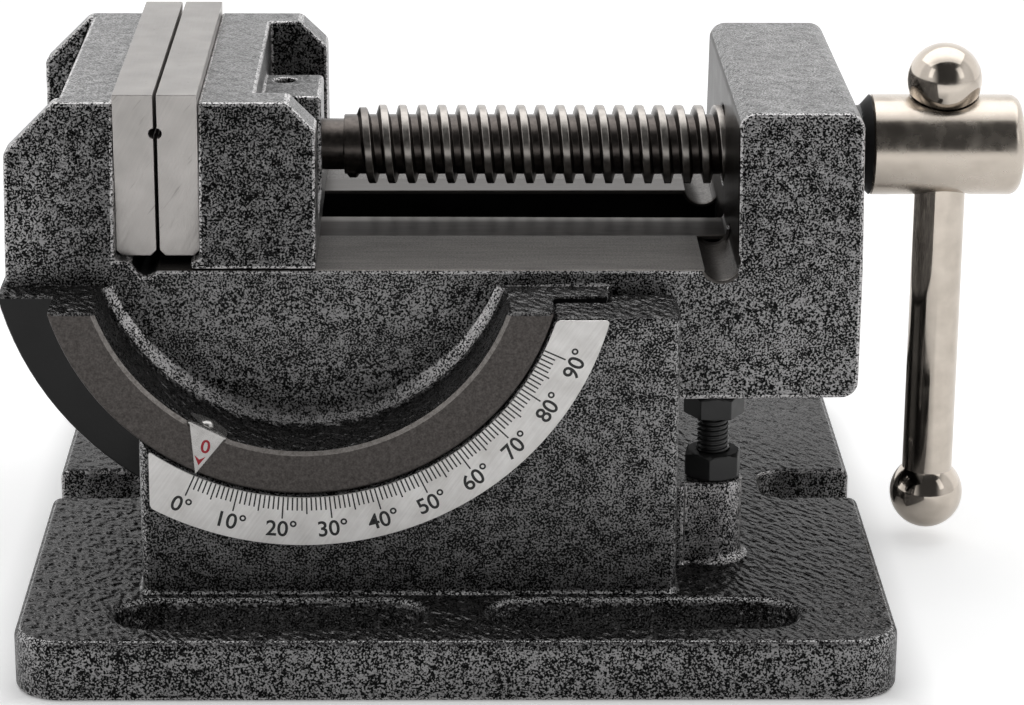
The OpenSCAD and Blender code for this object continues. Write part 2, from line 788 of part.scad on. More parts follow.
module tilt_pointer() color("whitesmoke") {
    bend = zero_angle - pointer_lean;
    translate([tilt_x, 0, tilt_z]) along_y(-rim_y - pointer_t, -rim_y) polygon([
        rim_point(seat_r, zero_angle), rim_point(tab_r, bend + pointer_half),
        rim_point(tab_r, bend - pointer_half)]);
    difference() {
        intersection() {
            at_tilt() rotate(bend - pointer_half) rotate_extrude(angle = 2 * pointer_half)
                translate([tab_r, rim_y - pointer_tab]) square([pointer_t, pointer_tab + pointer_t]);
            pointer_rivet_place() translate([0, 0, -rim_w]) linear_extrude(2 * rim_w) pointer_tab_outline();
        }
        pointer_rivet_hole();
    }
}

function rim_point(r, angle) = r * [cos(angle), sin(angle)];

module pointer_rivet() color("silver") pointer_rivet_place() {
    seat = pointer_t + rivet_lift;
    translate([0, 0, -seat - join]) cylinder(r = rivet_shank_r, h = rivet_l + seat + join);
    translate([0, 0, -seat - rivet_h]) rotate_extrude() intersection() {
        translate([0, rivet_dome_r]) circle(rivet_dome_r);
        square([rivet_d / 2, rivet_h]);
    }
}

// Moving jaw

module moving_jaw_outline() {
    z0 = ways_z + slide_clear;
    polygon([
        [mseat_x - ledge_w, z0], [mseat_x - ledge_w, plate_z], [mseat_x, plate_z], [mseat_x, pad_z],
        [mjaw_x1 - mjaw_bevel, pad_z], [mjaw_x1, pad_z - mjaw_bevel], [mjaw_x1, z0]]);
}

module moving_jaw() color("dimgray") difference() {
    union() {
        difference() {
            intersection() {
                along_y(-body_w, body_w) moving_jaw_outline();
                along_x(mseat_x - body_w, mjaw_x1 + over) draft_section(pad_z, tail_z);
            }
            translate([mseat_x + mjaw_pad, -mjaw_pocket_w / 2, floor_z])
                cube([mjaw_l, mjaw_pocket_w, jaw_h]);
        }
        translate([mseat_x + mjaw_pad - over, -nose_boss_w / 2, floor_z - over])
            cube([mjaw_l - mjaw_pad + over, nose_boss_w, nose_boss_z - floor_z + over]);
        translate([keeper_x, -tongue_w / 2, tongue_z])
            cube([keeper_l, tongue_w, floor_z - tongue_z - over]);
    }
    both_sides() along_x(mseat_x - ledge_w - over, mjaw_x1 + over) intersection() {
        strip_section(ways_z + slide_clear);
        translate([tongue_w / 2, 0]) square([strip_y, pad_z]);
    }
    screw_rod(nose_d / 2 + nose_clear, mjaw_x1 - nose_in - end_clear, mjaw_x1 + over);
    translate([pin_x, pin_off, pin_bottom - end_clear])
        cylinder(d = pin_d + 2 * hole_clear, h = nose_boss_z - pin_bottom + over);
    plate_screw_holes(mseat_x - over, mseat_x + mjaw_pad - blind);
    keeper_screw_places() translate([0, 0, -over])
        cylinder(d = keeper_screw_d + 2 * hole_clear, h = way_t + over + end_clear);
}

module moving_jaw_plate() color("silver") translate([mseat_x, 0, 0]) mirror([1, 0, 0]) jaw_plate();

module moving_jaw_screws() color("darkslategray") translate([mseat_x, 0, 0]) mirror([1, 0, 0])
    jaw_plate_screws(plate_t - plate_screw_d + mjaw_pad - 2 * blind);

// Two places under the tongue, with Z upwards from the top of the hold-down plate
module keeper_screw_places() {
    for (s = [-1, 1]) translate([keeper_x + keeper_l / 2 + s * keeper_l / 4, 0, tongue_z]) children();
}

module hold_down_plate() color("gray") difference() {
    along_x(keeper_x, keeper_x + keeper_l)
        rounded_rect([-way_slot_w / 2 - keeper_lap, tongue_z - keeper_t],
            [way_slot_w / 2 + keeper_lap, tongue_z], keeper_round, [1, 1, 0, 0]);
    keeper_screw_places() translate([0, 0, -keeper_t - over])
        cylinder(d = keeper_screw_d + 2 * hole_clear, h = keeper_t + 2 * over);
}

module hold_down_screws() color("darkslategray") keeper_screw_places()
    translate([0, 0, -keeper_t]) rotate([180, 0, 0]) socket_screw(keeper_screw_d, keeper_t + way_t);

module nose_pin() color("darkgray") translate([pin_x, pin_off, pin_bottom])
    cylinder(d = pin_d, h = pin_top - pin_bottom);

// Lead screw: one helical ridge swept round the root, in one piece with nose and shank

// The first turn runs in from a shallow start
function run_in(i) = min(1, first_depth + (1 - first_depth) * i / thread_sides);
function ring_point(x, r, i) =
    [x, r * cos(360 * i / thread_sides), screw_z + r * sin(360 * i / thread_sides)];
function ridge_point(i, k) = ring_point(
    thread_x0 + join + pitch * i / thread_sides + ridge[k][0],
    root_r + (screw_d - root_d) / 2 * ridge[k][1] * run_in(i), i);
function at(i, k) = 4 * i + k;
function start_ring(j) = 4 * (steps + 1) + j % thread_sides;
function end_ring(j) = start_ring(j) + thread_sides;
function quad(a, b, c, d) = [[a, c, b], [a, d, c]];
function joined(lists) = [for (one = lists) for (item = one) item];
function fan(tip, rim) = [for (j = [0:len(rim) - 2]) [tip, rim[j + 1], rim[j]]];

module threaded_length() {
    n = thread_sides;
    points = concat(
        [for (i = [0:steps]) for (k = [0:3]) ridge_point(i, k)],
        [for (j = [0:n - 1]) ring_point(thread_x0, root_r, j)],
        [for (j = [0:n - 1]) ring_point(thread_x1, root_r, j)]);
    ridge_faces = joined([for (i = [0:steps - 1]) for (k = [0:2])
        quad(at(i, k), at(i + 1, k), at(i + 1, k + 1), at(i, k + 1))]);
    root_faces = joined([for (i = [0:steps - n - 1])
        quad(at(i, 3), at(i + 1, 3), at(i + 1 + n, 0), at(i + n, 0))]);
    start_faces = concat(
        joined([for (j = [0:n - 2]) quad(start_ring(j), start_ring(j + 1), at(j + 1, 0), at(j, 0))]),
        fan(at(n - 1, 0), [start_ring(n - 1), start_ring(0), at(0, 0), at(0, 3), at(n, 0)]),
        quad(at(0, 0), at(0, 1), at(0, 2), at(0, 3)));
    last = steps - n;
    end_faces = concat(
        joined([for (j = [1:n - 1])
            quad(at(last + j, 3), at(last + j + 1, 3), end_ring(j + 1), end_ring(j))]),
        fan(at(last + 1, 3), [end_ring(1), end_ring(0), at(steps, 3), at(steps, 0), at(last, 3)]),
        quad(at(steps, 3), at(steps, 2), at(steps, 1), at(steps, 0)));
    caps = [[for (j = [0:n - 1]) start_ring(j)], [for (j = [n - 1:-1:0]) end_ring(j)]];
    polyhedron(points, concat(ridge_faces, root_faces, start_faces, end_faces, caps));
}

module lead_screw() color("slategray") {
    threaded_length();
    difference() {
        screw_rod(nose_d / 2, mjaw_x1 - nose_in, thread_x0);
        difference() {
            screw_rod(nose_d, pin_x - pin_d / 2 - pin_play, pin_x + pin_d / 2 + pin_play);
            screw_rod(pin_off - pin_d / 2 - pin_play, pin_x - pin_d, pin_x + pin_d);
        }
    }
    screw_rod(shank_r, thread_x1, shank_x1);
}

module screw_collar() color("black") difference() {
    translate([collar_x, 0, screw_z]) rotate([0, 90, 0]) rotate_extrude() polygon([
        [0, 0], [collar_d / 2, 0], [collar_d / 2, collar_l - collar_flare],
        [hub_r, collar_l], [0, collar_l]]);
    screw_rod(shank_r + hole_clear, collar_x - over, hub_x + over);
}

// Half section of the hub along its axis: bevelled at the collar, round at the outer end
module hub_section() {
    difference() {
        rounded_rect([0, 0], [hub_r, hub_l], hub_round, [0, 0, 1, 0]);
        translate([hub_r, 0]) rotate(45) square(sqrt(2) * hub_inner_bevel, center = true);
    }
}

module screw_hub() color("lightgray") difference() {
    translate([hub_x, 0, screw_z]) rotate([0, 90, 0]) rotate_extrude() hub_section();
    screw_rod(shank_r + hole_clear, hub_x - over, shank_x1 + end_clear);
    translate([bar_x, 0, screw_z - hub_d]) cylinder(r = bar_r + bar_clear, h = 2 * hub_d);
    for (s = [-1, 1]) translate([bar_x, 0, screw_z + s * ball_rest]) sphere(ball_r + ball_clear);
}

module handle_bar() color("lightgray") translate([bar_x, 0, 0]) {
    translate([0, 0, bar_bottom + shoulder]) cylinder(r = bar_r, h = bar_span - 2 * shoulder);
    translate([0, 0, bar_bottom + shoulder - spigot_l])
        cylinder(r = spigot_r, h = bar_span - 2 * (shoulder - spigot_l));
}

module handle_ball(z, side) translate([bar_x, 0, z]) difference() {
    sphere(ball_r);
    translate([0, 0, side * ball_r]) cube([2 * ball_r, 2 * ball_r, 2 * (ball_r - shoulder)], center = true);
    translate([0, 0, side * (shoulder - spigot_l - end_clear)]) mirror([0, 0, side < 0 ? 1 : 0])
        cylinder(r = spigot_r + hole_clear, h = spigot_l + over);
}

module handle_ball_top() color("lightgray") handle_ball(bar_top, -1);

module handle_ball_bottom() color("lightgray") handle_ball(bar_bottom, 1);

base();
angle_scale();
stop_bolt();
stop_nut();
lock_bolt_low();
lock_bolt_high();
vise_body();
fixed_jaw_plate();
fixed_jaw_screws();
tilt_pointer();
pointer_rivet();
moving_jaw();
moving_jaw_plate();
moving_jaw_screws();
hold_down_plate();
hold_down_screws();
nose_pin();
lead_screw();
screw_collar();
screw_hub();
handle_bar();
handle_ball_top();
handle_ball_bottom();
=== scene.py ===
"""Tilting drill press vise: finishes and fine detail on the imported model, in metres."""

import json
import math

import bpy
from mathutils import Matrix, Vector


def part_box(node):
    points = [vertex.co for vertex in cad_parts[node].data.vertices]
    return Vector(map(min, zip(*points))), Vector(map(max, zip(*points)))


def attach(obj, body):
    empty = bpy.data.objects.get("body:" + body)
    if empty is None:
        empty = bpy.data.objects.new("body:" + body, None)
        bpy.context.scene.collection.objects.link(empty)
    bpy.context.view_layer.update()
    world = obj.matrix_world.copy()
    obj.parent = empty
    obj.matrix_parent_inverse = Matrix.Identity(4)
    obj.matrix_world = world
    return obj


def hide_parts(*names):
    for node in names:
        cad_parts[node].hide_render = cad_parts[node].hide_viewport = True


MM = 0.001
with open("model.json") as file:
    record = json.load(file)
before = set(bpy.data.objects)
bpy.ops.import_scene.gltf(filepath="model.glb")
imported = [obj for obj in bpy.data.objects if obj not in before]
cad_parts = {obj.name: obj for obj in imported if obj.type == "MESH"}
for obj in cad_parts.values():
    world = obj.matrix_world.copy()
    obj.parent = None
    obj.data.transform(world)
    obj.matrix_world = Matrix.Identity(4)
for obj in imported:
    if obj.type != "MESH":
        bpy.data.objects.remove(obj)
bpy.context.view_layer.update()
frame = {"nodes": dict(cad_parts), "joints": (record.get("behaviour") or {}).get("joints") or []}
nodes = frame["nodes"]
joints = {joint["name"]: joint for joint in frame["joints"]}

# Sizes of the castings, as the solids have them
BASE_T = 15 * MM
SLOT_WALL_Y = (78 * MM, 97 * MM)
CHEEK_END_X = 53 * MM
BOSS_FOOT_R = 10.5 * MM
RIM_INNER_R = 51.5 * MM
RIM_PROUD = 0.5 * MM
RIM_ABOVE_CHEEK = 1.5 * MM
FLANGE_Y = 63.2 * MM
BODY_SIDE_Y = 55.7 * MM
CAVITY_Y = 42 * MM
SCREW_ABOVE_WAYS = 16.5 * MM
STRIP_EDGE_Y = 26.5 * MM
BLOCK_FACE_X = 67.8 * MM
RELIEF_R = 4.4 * MM
SCALE_WIDTH = 12.2 * MM

# Places read from the frame
tilt_axis = Vector(joints["tilt"]["pos_m"])
screw_z = joints["screw_turn"]["pos_m"][2]
ways_z = screw_z - SCREW_ABOVE_WAYS
rim_y = -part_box("vise_body")[0].y
scale_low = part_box("angle_scale")[0]
pointer_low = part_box("tilt_pointer")[0]
nut_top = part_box("stop_nut")[1].z
stop_low, stop_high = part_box("stop_bolt")
stop_axis = ((stop_low + stop_high) / 2).xy
base_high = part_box("base")[1]
rim_bottom = tilt_axis - Vector((0, 0, RIM_INNER_R))
cheek_corner = Vector((CHEEK_END_X, 0, base_high.z))


# Small helpers for modelling

WELD = 0.004 * MM
LEVEL_DEG = 0.5
SHARP_DEG = 30
SMOOTH_DEG = 35
WIDE_ENOUGH = 1.8
EDGE_STEPS = 2


def only(piece):
    """Makes one piece the whole selection."""
    bpy.ops.object.select_all(action="DESELECT")
    piece.select_set(True)
    bpy.context.view_layer.objects.active = piece


def modify(piece, kind, **settings):
    """Adds a modifier with its settings and applies it."""
    only(piece)
    modifier = piece.modifiers.new(kind.lower(), kind)
    for name, value in settings.items():
        setattr(modifier, name, value)
    bpy.ops.object.modifier_apply(modifier=modifier.name)


def finish(piece, body, slot, *materials):
    """Gives a piece its materials and its body; the slot argument is not used."""
    piece.data.materials.clear()
    for material in materials:
        piece.data.materials.append(material)
    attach(piece, body)
    return piece


def merged(node):
    """A copy of a CAD node whose loose triangles are joined into faces."""
    piece = bpy.data.objects.new(node + "_finished", nodes[node].data.copy())
    bpy.context.scene.collection.objects.link(piece)
    only(piece)
    bpy.ops.mesh.customdata_custom_splitnormals_clear()
    bpy.ops.object.mode_set(mode="EDIT")
    bpy.ops.mesh.select_all(action="SELECT")
    bpy.ops.mesh.remove_doubles(threshold=WELD)
    bpy.ops.mesh.dissolve_limited(angle_limit=math.radians(LEVEL_DEG))
    bpy.ops.object.mode_set(mode="OBJECT")
    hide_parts(node)
    return piece


def slot_of(piece, material):
    """Place of a material in a piece's list, where it is added if it is new."""
    if material.name not in piece.data.materials:
        piece.data.materials.append(material)
    return piece.data.materials.find(material.name)


def round_edges(piece, width, segments, wanted, material=None):
    """Rounds the edges whose run and two faces pass a test, perhaps in a material of their own."""
    faces_at = {}
    for face in piece.data.polygons:
        for key in face.edge_keys:
            faces_at.setdefault(key, []).append(face)
    weights = piece.data.attributes.new("bevel_weight_edge", "FLOAT", "EDGE")
    corners = piece.data.vertices
    for edge in piece.data.edges:
        run = corners[edge.vertices[1]].co - corners[edge.vertices[0]].co
        weights.data[edge.index].value = len(faces_at[edge.key]) == 2 and wanted(run, *faces_at[edge.key])
    modify(piece, "BEVEL", width=width, segments=segments, limit_method="WEIGHT", use_clamp_overlap=False,
           material=slot_of(piece, material) if material else -1)
    piece.data.attributes.remove(piece.data.attributes["bevel_weight_edge"])


def eased(piece, edge_mm, edge_material=None):
    """Rounds a piece's sharp edges where both faces are wide enough, and shades it smooth."""
    width = edge_mm * MM

    def sharp(run, face, other):
        wide = min(face.area, other.area) > WIDE_ENOUGH * width * run.length
        return wide and face.normal.angle(other.normal) > math.radians(SHARP_DEG)

    if edge_mm:
        round_edges(piece, width, EDGE_STEPS, sharp, edge_material)
    only(piece)
    bpy.ops.object.shade_smooth_by_angle(angle=math.radians(SMOOTH_DEG))
    modify(piece, "WEIGHTED_NORMAL", keep_sharp=True)
    return piece


def give_faces(piece, material, wanted):
    """Gives a material to the faces whose middle and normal pass a test."""
    index = slot_of(piece, material)
    for face in piece.data.polygons:
        if wanted(face.center, face.normal):
            face.material_index = index


def placed(source, matrix):
    """A copy of a piece, with its own mesh moved to its place."""
    copy = source.copy()
    copy.data = source.data.copy()
    copy.data.transform(matrix)
    bpy.context.scene.collection.objects.link(copy)
    return copy


def joined(name, pieces):
    """One piece made of several."""
    bpy.ops.object.select_all(action="DESELECT")
    for piece in pieces:
        piece.select_set(True)
    bpy.context.view_layer.objects.active = pieces[0]
    bpy.ops.object.join()
    pieces[0].name = name
    return pieces[0]


# Materials

def linear(code):
    """Linear colour of an sRGB hex code."""
    parts = [int(code[i:i + 2], 16) / 255 for i in (1, 3, 5)]
    return tuple(p / 12.92 if p <= 0.04045 else ((p + 0.055) / 1.055) ** 2.4 for p in parts) + (1.0,)


def add(tree, kind, inputs, **settings):
    """Adds a node with its settings, and fills its inputs with values or links."""
    made = tree.nodes.new("ShaderNode" + kind)
    for name, value in settings.items():
        setattr(made, name, value)
    for name, value in inputs.items():
        if isinstance(value, bpy.types.NodeSocket):
            tree.links.new(value, made.inputs[name])
        else:
            made.inputs[name].default_value = value
    return made


def start(name, **values):
    """A material whose shader has constant values, with its tree and its object coordinates."""
    material = bpy.data.materials.new(name)
    material.use_nodes = True
    tree = material.node_tree
    skin = tree.nodes["Principled BSDF"]
    for key, value in values.items():
        skin.inputs[key.replace("_", " ")].default_value = value
    return material, tree, add(tree, "TexCoord", {}).outputs["Object"]


def linked(material, colour, rough=None, relief=None):
    """A material with its colour, roughness and relief linked to its shader."""
    tree = material.node_tree
    skin = tree.nodes["Principled BSDF"]
    for output, name in ((colour, "Base Color"), (rough, "Roughness"), (relief, "Normal")):
        if output:
            tree.links.new(output, skin.inputs[name])
    return material


def per_mm(size):
    """Noise scale for features of a size in millimetres."""
    return 1 / (size * MM)


def faded(tree, place, value, middle, reach, levels):
    """A value scaled by its distance, as seen from the front, from a middle."""
    flat = add(tree, "VectorMath", {0: place, 1: (1.0, 0.0, 1.0)}, operation="MULTIPLY")
    far = add(tree, "VectorMath", {0: flat.outputs[0], 1: (middle.x, 0.0, middle.z)}, operation="DISTANCE")
    level = add(tree, "MapRange", {"Value": far.outputs["Value"], "From Min": reach[0], "From Max": reach[1],
                                   "To Min": levels[0], "To Max": levels[1]})
    return add(tree, "Math", {0: value, 1: level.outputs[0]}, operation="MULTIPLY")


PIT_MM = 0.46
PIT_DRIFT = 0.25
PIT_EDGE = (-0.06, 0.1)
FIELD_ROUGHER = 0.14


def hammertone_enamel(name, pit, field, pit_level, wave_mm=2.6, wave_height=2.5, gloss=0.3, edge="#ffffff",
                      fade=None):
    # Hammertone enamel sprayed on cast iron: the silicone in it draws the aluminium flakes apart,
    # which leaves black pits in a silvery grey field, and the skin is glossy and softly wrinkled.
    material, tree, place = start(name, Metallic=0.85, IOR=1.4, Specular_Tint=linear(edge))
    pits = add(tree, "TexNoise", {"Vector": place, "Scale": per_mm(PIT_MM), "Detail": 1.5,
                                  "Roughness": 0.5, "Distortion": 0.3})
    drift = add(tree, "TexNoise", {"Vector": place, "Scale": per_mm(3), "Detail": 1.0})
    level = add(tree, "Math", {0: drift.outputs["Fac"], 1: PIT_DRIFT, 2: pits.outputs["Fac"]},
                operation="MULTIPLY_ADD")
    grey = add(tree, "MapRange", {"Value": level.outputs[0], "From Min": pit_level + PIT_EDGE[0],
                                  "From Max": pit_level + PIT_EDGE[1]}, interpolation_type="SMOOTHSTEP")
    tone = add(tree, "TexNoise", {"Vector": place, "Scale": per_mm(22), "Detail": 2.0})
    shade = add(tree, "MapRange", {"Value": tone.outputs["Fac"], "From Min": 0.3, "From Max": 0.7,
                                   "To Min": 0.8, "To Max": 1.0})
    cover = add(tree, "Math", {0: grey.outputs[0], 1: shade.outputs[0]}, operation="MULTIPLY")
    if fade:
        cover = faded(tree, place, cover.outputs[0], *fade)
    colour = add(tree, "Mix", {0: cover.outputs[0], 6: linear(pit), 7: linear(field)}, data_type="RGBA")
    rough = add(tree, "MapRange", {"Value": grey.outputs[0], "To Min": gloss,
                                   "To Max": gloss + FIELD_ROUGHER})
    slant = add(tree, "Mapping", {"Vector": place, "Rotation": (0.0, 0.0, math.radians(-60)),
                                  "Scale": (1.8, 1.0, 1.0)}, vector_type="TEXTURE")
    wave = add(tree, "TexNoise", {"Vector": slant.outputs[0], "Scale": per_mm(wave_mm), "Detail": 1.0})
    height = add(tree, "Math", {0: wave.outputs["Fac"], 1: wave_height, 2: pits.outputs["Fac"]},
                 operation="MULTIPLY_ADD")
    relief = add(tree, "Bump", {"Strength": 0.6, "Distance": 0.3 * MM, "Height": height.outputs[0]})
    return linked(material, colour.outputs[2], rough.outputs[0], relief.outputs[0])


def milled_iron(name, dark, light, stretch):
    # Milled grey iron: a satin grey face with the sparkle of the open grain and faint tool marks.
    # The grain is drawn coarser than it is, so that it shows.
    material, tree, place = start(name, Metallic=1.0)
    grain = add(tree, "TexNoise", {"Vector": place, "Scale": per_mm(0.45), "Detail": 2.0})
    along = add(tree, "Mapping", {"Vector": place, "Scale": stretch})
    marks = add(tree, "TexNoise", {"Vector": along.outputs[0], "Scale": per_mm(1.2), "Detail": 4.0})
    mixed = add(tree, "Math", {0: grain.outputs["Fac"], 1: marks.outputs["Fac"]}, operation="ADD")
    shade = add(tree, "MapRange", {"Value": mixed.outputs[0], "From Min": 0.7, "From Max": 1.3})
    colour = add(tree, "Mix", {0: shade.outputs[0], 6: linear(dark), 7: linear(light)},
                 data_type="RGBA")
    rough = add(tree, "MapRange", {"Value": grain.outputs["Fac"], "From Min": 0.3, "From Max": 0.7,
                                   "To Min": 0.52, "To Max": 0.38})
    relief = add(tree, "Bump", {"Strength": 0.25, "Distance": 0.04 * MM, "Height": mixed.outputs[0]})
    return linked(material, colour.outputs[2], rough.outputs[0], relief.outputs[0])


# Painted reflection: where the front strip takes the lighter colour, and how much of it the rear strip gets.
FRONT_SHINE_Y = (-16.6 * MM, -14.2 * MM)
FRONT_SHINE_END_Y = (-12 * MM, -11 * MM)
REAR_SHINE = 0.25


def scraped_iron(name, dark, light, stretch, wear_and_shine=None):
    # Grey iron planed one way and rubbed smooth: a clouded dark mirror that smears across its tool marks.
    # A lighter colour is painted on as reflection: a band on the front strip beside the slot, and a little of
    # it over the rear strip.
    material, tree, place = start(name, Metallic=1.0, Specular_Tint=linear("#d2d2d2"))
    along = add(tree, "Mapping", {"Vector": place, "Scale": stretch})
    streak = add(tree, "TexNoise", {"Vector": along.outputs[0], "Scale": per_mm(0.5), "Detail": 3.0})
    cloud = add(tree, "TexNoise", {"Vector": place, "Scale": per_mm(6), "Detail": 3.0})
    mixed = add(tree, "Math", {0: streak.outputs["Fac"], 1: cloud.outputs["Fac"]}, operation="ADD")
    shade = add(tree, "MapRange", {"Value": mixed.outputs[0], "From Min": 0.7, "From Max": 1.3})
    colour = add(tree, "Mix", {0: shade.outputs[0], 6: linear(dark), 7: linear(light)}, data_type="RGBA")
    if wear_and_shine:
        side = add(tree, "SeparateXYZ", {"Vector": place}).outputs["Y"]
        edge = add(tree, "MapRange", {"Value": side, "From Min": FRONT_SHINE_Y[0],
                                      "From Max": FRONT_SHINE_Y[1]})
        front = add(tree, "MapRange", {"Value": side, "From Min": FRONT_SHINE_END_Y[0],
                                       "From Max": FRONT_SHINE_END_Y[1], "To Min": 1.0, "To Max": REAR_SHINE})
        share = add(tree, "Math", {0: edge.outputs[0], 1: front.outputs[0]}, operation="MULTIPLY")
        colour = add(tree, "Mix", {0: share.outputs[0], 6: colour.outputs[2], 7: linear(wear_and_shine)},
                     data_type="RGBA")
    rough = add(tree, "MapRange", {"Value": cloud.outputs["Fac"], "To Min": 0.26, "To Max": 0.4})
    relief = add(tree, "Bump", {"Strength": 0.5, "Distance": 0.05 * MM, "Height": streak.outputs["Fac"]})
    return linked(material, colour.outputs[2], rough.outputs[0], relief.outputs[0])


def black_enamel():
    # Black enamel brushed thin on the turned faces and oiled: nearly black, glossy, with soft smears.
    material, tree, place = start("black_enamel", IOR=1.33)
    smear = add(tree, "TexNoise", {"Vector": place, "Scale": per_mm(8), "Detail": 4.0})
    grit = add(tree, "TexNoise", {"Vector": place, "Scale": per_mm(0.9), "Detail": 1.0})
    colour = add(tree, "Mix", {0: smear.outputs["Fac"], 6: linear("#050505"), 7: linear("#141414")},
                 data_type="RGBA")
    rough = add(tree, "MapRange", {"Value": smear.outputs["Fac"], "To Min": 0.22, "To Max": 0.5})
    relief = add(tree, "Bump", {"Strength": 0.35, "Distance": 0.12 * MM, "Height": grit.outputs["Fac"]})
    return linked(material, colour.outputs[2], rough.outputs[0], relief.outputs[0])


def ground_steel(name, dark, light):
    # Surface-ground tool steel: light grey with fine slanting grinding lines and thin scratches.
    # The lines are drawn coarser than they are, so that they show.
    material, tree, place = start(name, Metallic=1.0)
    slant = add(tree, "Mapping", {"Vector": place, "Rotation": (0.0, math.radians(28), 0.0),
                                  "Scale": (1.0, 20.0, 25.0)}, vector_type="TEXTURE")
    lines = add(tree, "TexNoise", {"Vector": slant.outputs[0], "Scale": per_mm(0.55), "Detail": 3.0})
    haze = add(tree, "TexNoise", {"Vector": place, "Scale": per_mm(9), "Detail": 2.0})
    shade = add(tree, "Math", {0: lines.outputs["Fac"], 1: haze.outputs["Fac"]}, operation="ADD")
    tone = add(tree, "MapRange", {"Value": shade.outputs[0], "From Min": 0.6, "From Max": 1.4})
    clean = add(tree, "Mix", {0: tone.outputs[0], 6: linear(dark), 7: linear(light)},
                data_type="RGBA")
    across = add(tree, "Mapping", {"Vector": place, "Rotation": (0.0, math.radians(40), 0.0),
                                   "Scale": (1.0, 1.0, 9.0)}, vector_type="TEXTURE")
    scratch = add(tree, "TexNoise", {"Vector": across.outputs[0], "Scale": per_mm(0.8), "Detail": 1.0})
    wear_and_shine = add(tree, "MapRange", {"Value": scratch.outputs["Fac"], "From Min": 0.7, "From Max": 0.8,
                                  "To Max": 0.5})
    colour = add(tree, "Mix", {0: wear_and_shine.outputs[0], 6: clean.outputs[2], 7: linear("#5f5b58")},
                 data_type="RGBA")
    rough = add(tree, "MapRange", {"Value": lines.outputs["Fac"], "From Min": 0.3, "From Max": 0.7,
                                   "To Min": 0.4, "To Max": 0.55})
    relief = add(tree, "Bump", {"Strength": 0.15, "Distance": 0.02 * MM, "Height": lines.outputs["Fac"]})
    return linked(material, colour.outputs[2], rough.outputs[0], relief.outputs[0])


CREST_R = (9.2 * MM, 9.9 * MM)


def turned_steel():
    # Turned steel: the ridge's crest is lighter, and the groove brown black.
    material, tree, place = start("turned_steel", Metallic=1.0)
    parts = add(tree, "SeparateXYZ", {"Vector": place})
    rise = add(tree, "Math", {0: parts.outputs["Z"], 1: screw_z}, operation="SUBTRACT")
    across = add(tree, "CombineXYZ", {"Y": parts.outputs["Y"], "Z": rise.outputs[0]})
    radius = add(tree, "VectorMath", {0: across.outputs[0]}, operation="LENGTH")
    crest = add(tree, "MapRange", {"Value": radius.outputs["Value"], "From Min": CREST_R[0],
                                   "From Max": CREST_R[1]})
    stain = add(tree, "TexNoise", {"Vector": place, "Scale": per_mm(1.2), "Detail": 4.0})
    bright = add(tree, "MapRange", {"Value": stain.outputs["Fac"], "From Min": 0.3, "From Max": 0.6,
                                    "To Min": 0.7})
    shade = add(tree, "Math", {0: crest.outputs[0], 1: bright.outputs[0]}, operation="MULTIPLY")
    groove_tone = add(tree, "Mix", {0: stain.outputs["Fac"], 6: linear("#363230"), 7: linear("#6a6460")},
               data_type="RGBA")
    colour = add(tree, "Mix", {0: shade.outputs[0], 6: groove_tone.outputs[2], 7: linear("#a39e99")},
                 data_type="RGBA")
    rough = add(tree, "MapRange", {"Value": stain.outputs["Fac"], "To Min": 0.25, "To Max": 0.42})
    return linked(material, colour.outputs[2], rough.outputs[0])


def black_oxide():
    # Black oxide on steel: a thin conversion layer, matte black with a faint oily sheen.
    material, tree, place = start("black_oxide", IOR=1.5)
    cloud = add(tree, "TexNoise", {"Vector": place, "Scale": per_mm(3), "Detail": 3.0})
    colour = add(tree, "Mix", {0: cloud.outputs["Fac"], 6: linear("#0c0c0c"), 7: linear("#232323")},
                 data_type="RGBA")
    rough = add(tree, "MapRange", {"Value": cloud.outputs["Fac"], "To Min": 0.32, "To Max": 0.55})
    return linked(material, colour.outputs[2], rough.outputs[0])


def nickel_plate(name, smoothest, roughest):
    # Bright nickel plate over turned steel: a warm mirror with faint pits and wipe marks.
    material, tree, place = start(name, Metallic=1.0)
    wipe = add(tree, "TexNoise", {"Vector": place, "Scale": per_mm(6), "Detail": 5.0})
    pits = add(tree, "TexNoise", {"Vector": place, "Scale": per_mm(0.8), "Detail": 2.0})
    colour = add(tree, "Mix", {0: wipe.outputs["Fac"], 6: linear("#a0978d"), 7: linear("#cbc2b7")},
                 data_type="RGBA")
    rough = add(tree, "MapRange", {"Value": wipe.outputs["Fac"], "From Min": 0.35, "From Max": 0.7,
                                   "To Min": smoothest, "To Max": roughest})
    relief = add(tree, "Bump", {"Strength": roughest, "Distance": 0.02 * MM, "Height": pits.outputs["Fac"]})
    return linked(material, colour.outputs[2], rough.outputs[0], relief.outputs[0])


def scale_aluminium():
    # Satin aluminium sheet under clear lacquer: silvery grey with fine rubs and faint stains.
    # The rubs are drawn coarser than they are, so that they show.
    material, tree, place = start("scale_aluminium", Metallic=0.4)
    stain = add(tree, "TexNoise", {"Vector": place, "Scale": per_mm(7), "Detail": 5.0})
    along = add(tree, "Mapping", {"Vector": place, "Rotation": (0.0, math.radians(35), 0.0),
                                  "Scale": (1.0, 1.0, 20.0)}, vector_type="TEXTURE")
    rub = add(tree, "TexNoise", {"Vector": along.outputs[0], "Scale": per_mm(0.5), "Detail": 1.0})
    mixed = add(tree, "Math", {0: rub.outputs["Fac"], 1: 0.4, 2: stain.outputs["Fac"]},
                operation="MULTIPLY_ADD")
    shade = add(tree, "MapRange", {"Value": mixed.outputs[0], "From Min": 0.5, "From Max": 0.9})
    colour = add(tree, "Mix", {0: shade.outputs[0], 6: linear("#d8d5d2"), 7: linear("#f3f1ef")},
                 data_type="RGBA")
    rough = add(tree, "MapRange", {"Value": rub.outputs["Fac"], "To Min": 0.35, "To Max": 0.55})
    return linked(material, colour.outputs[2], rough.outputs[0])


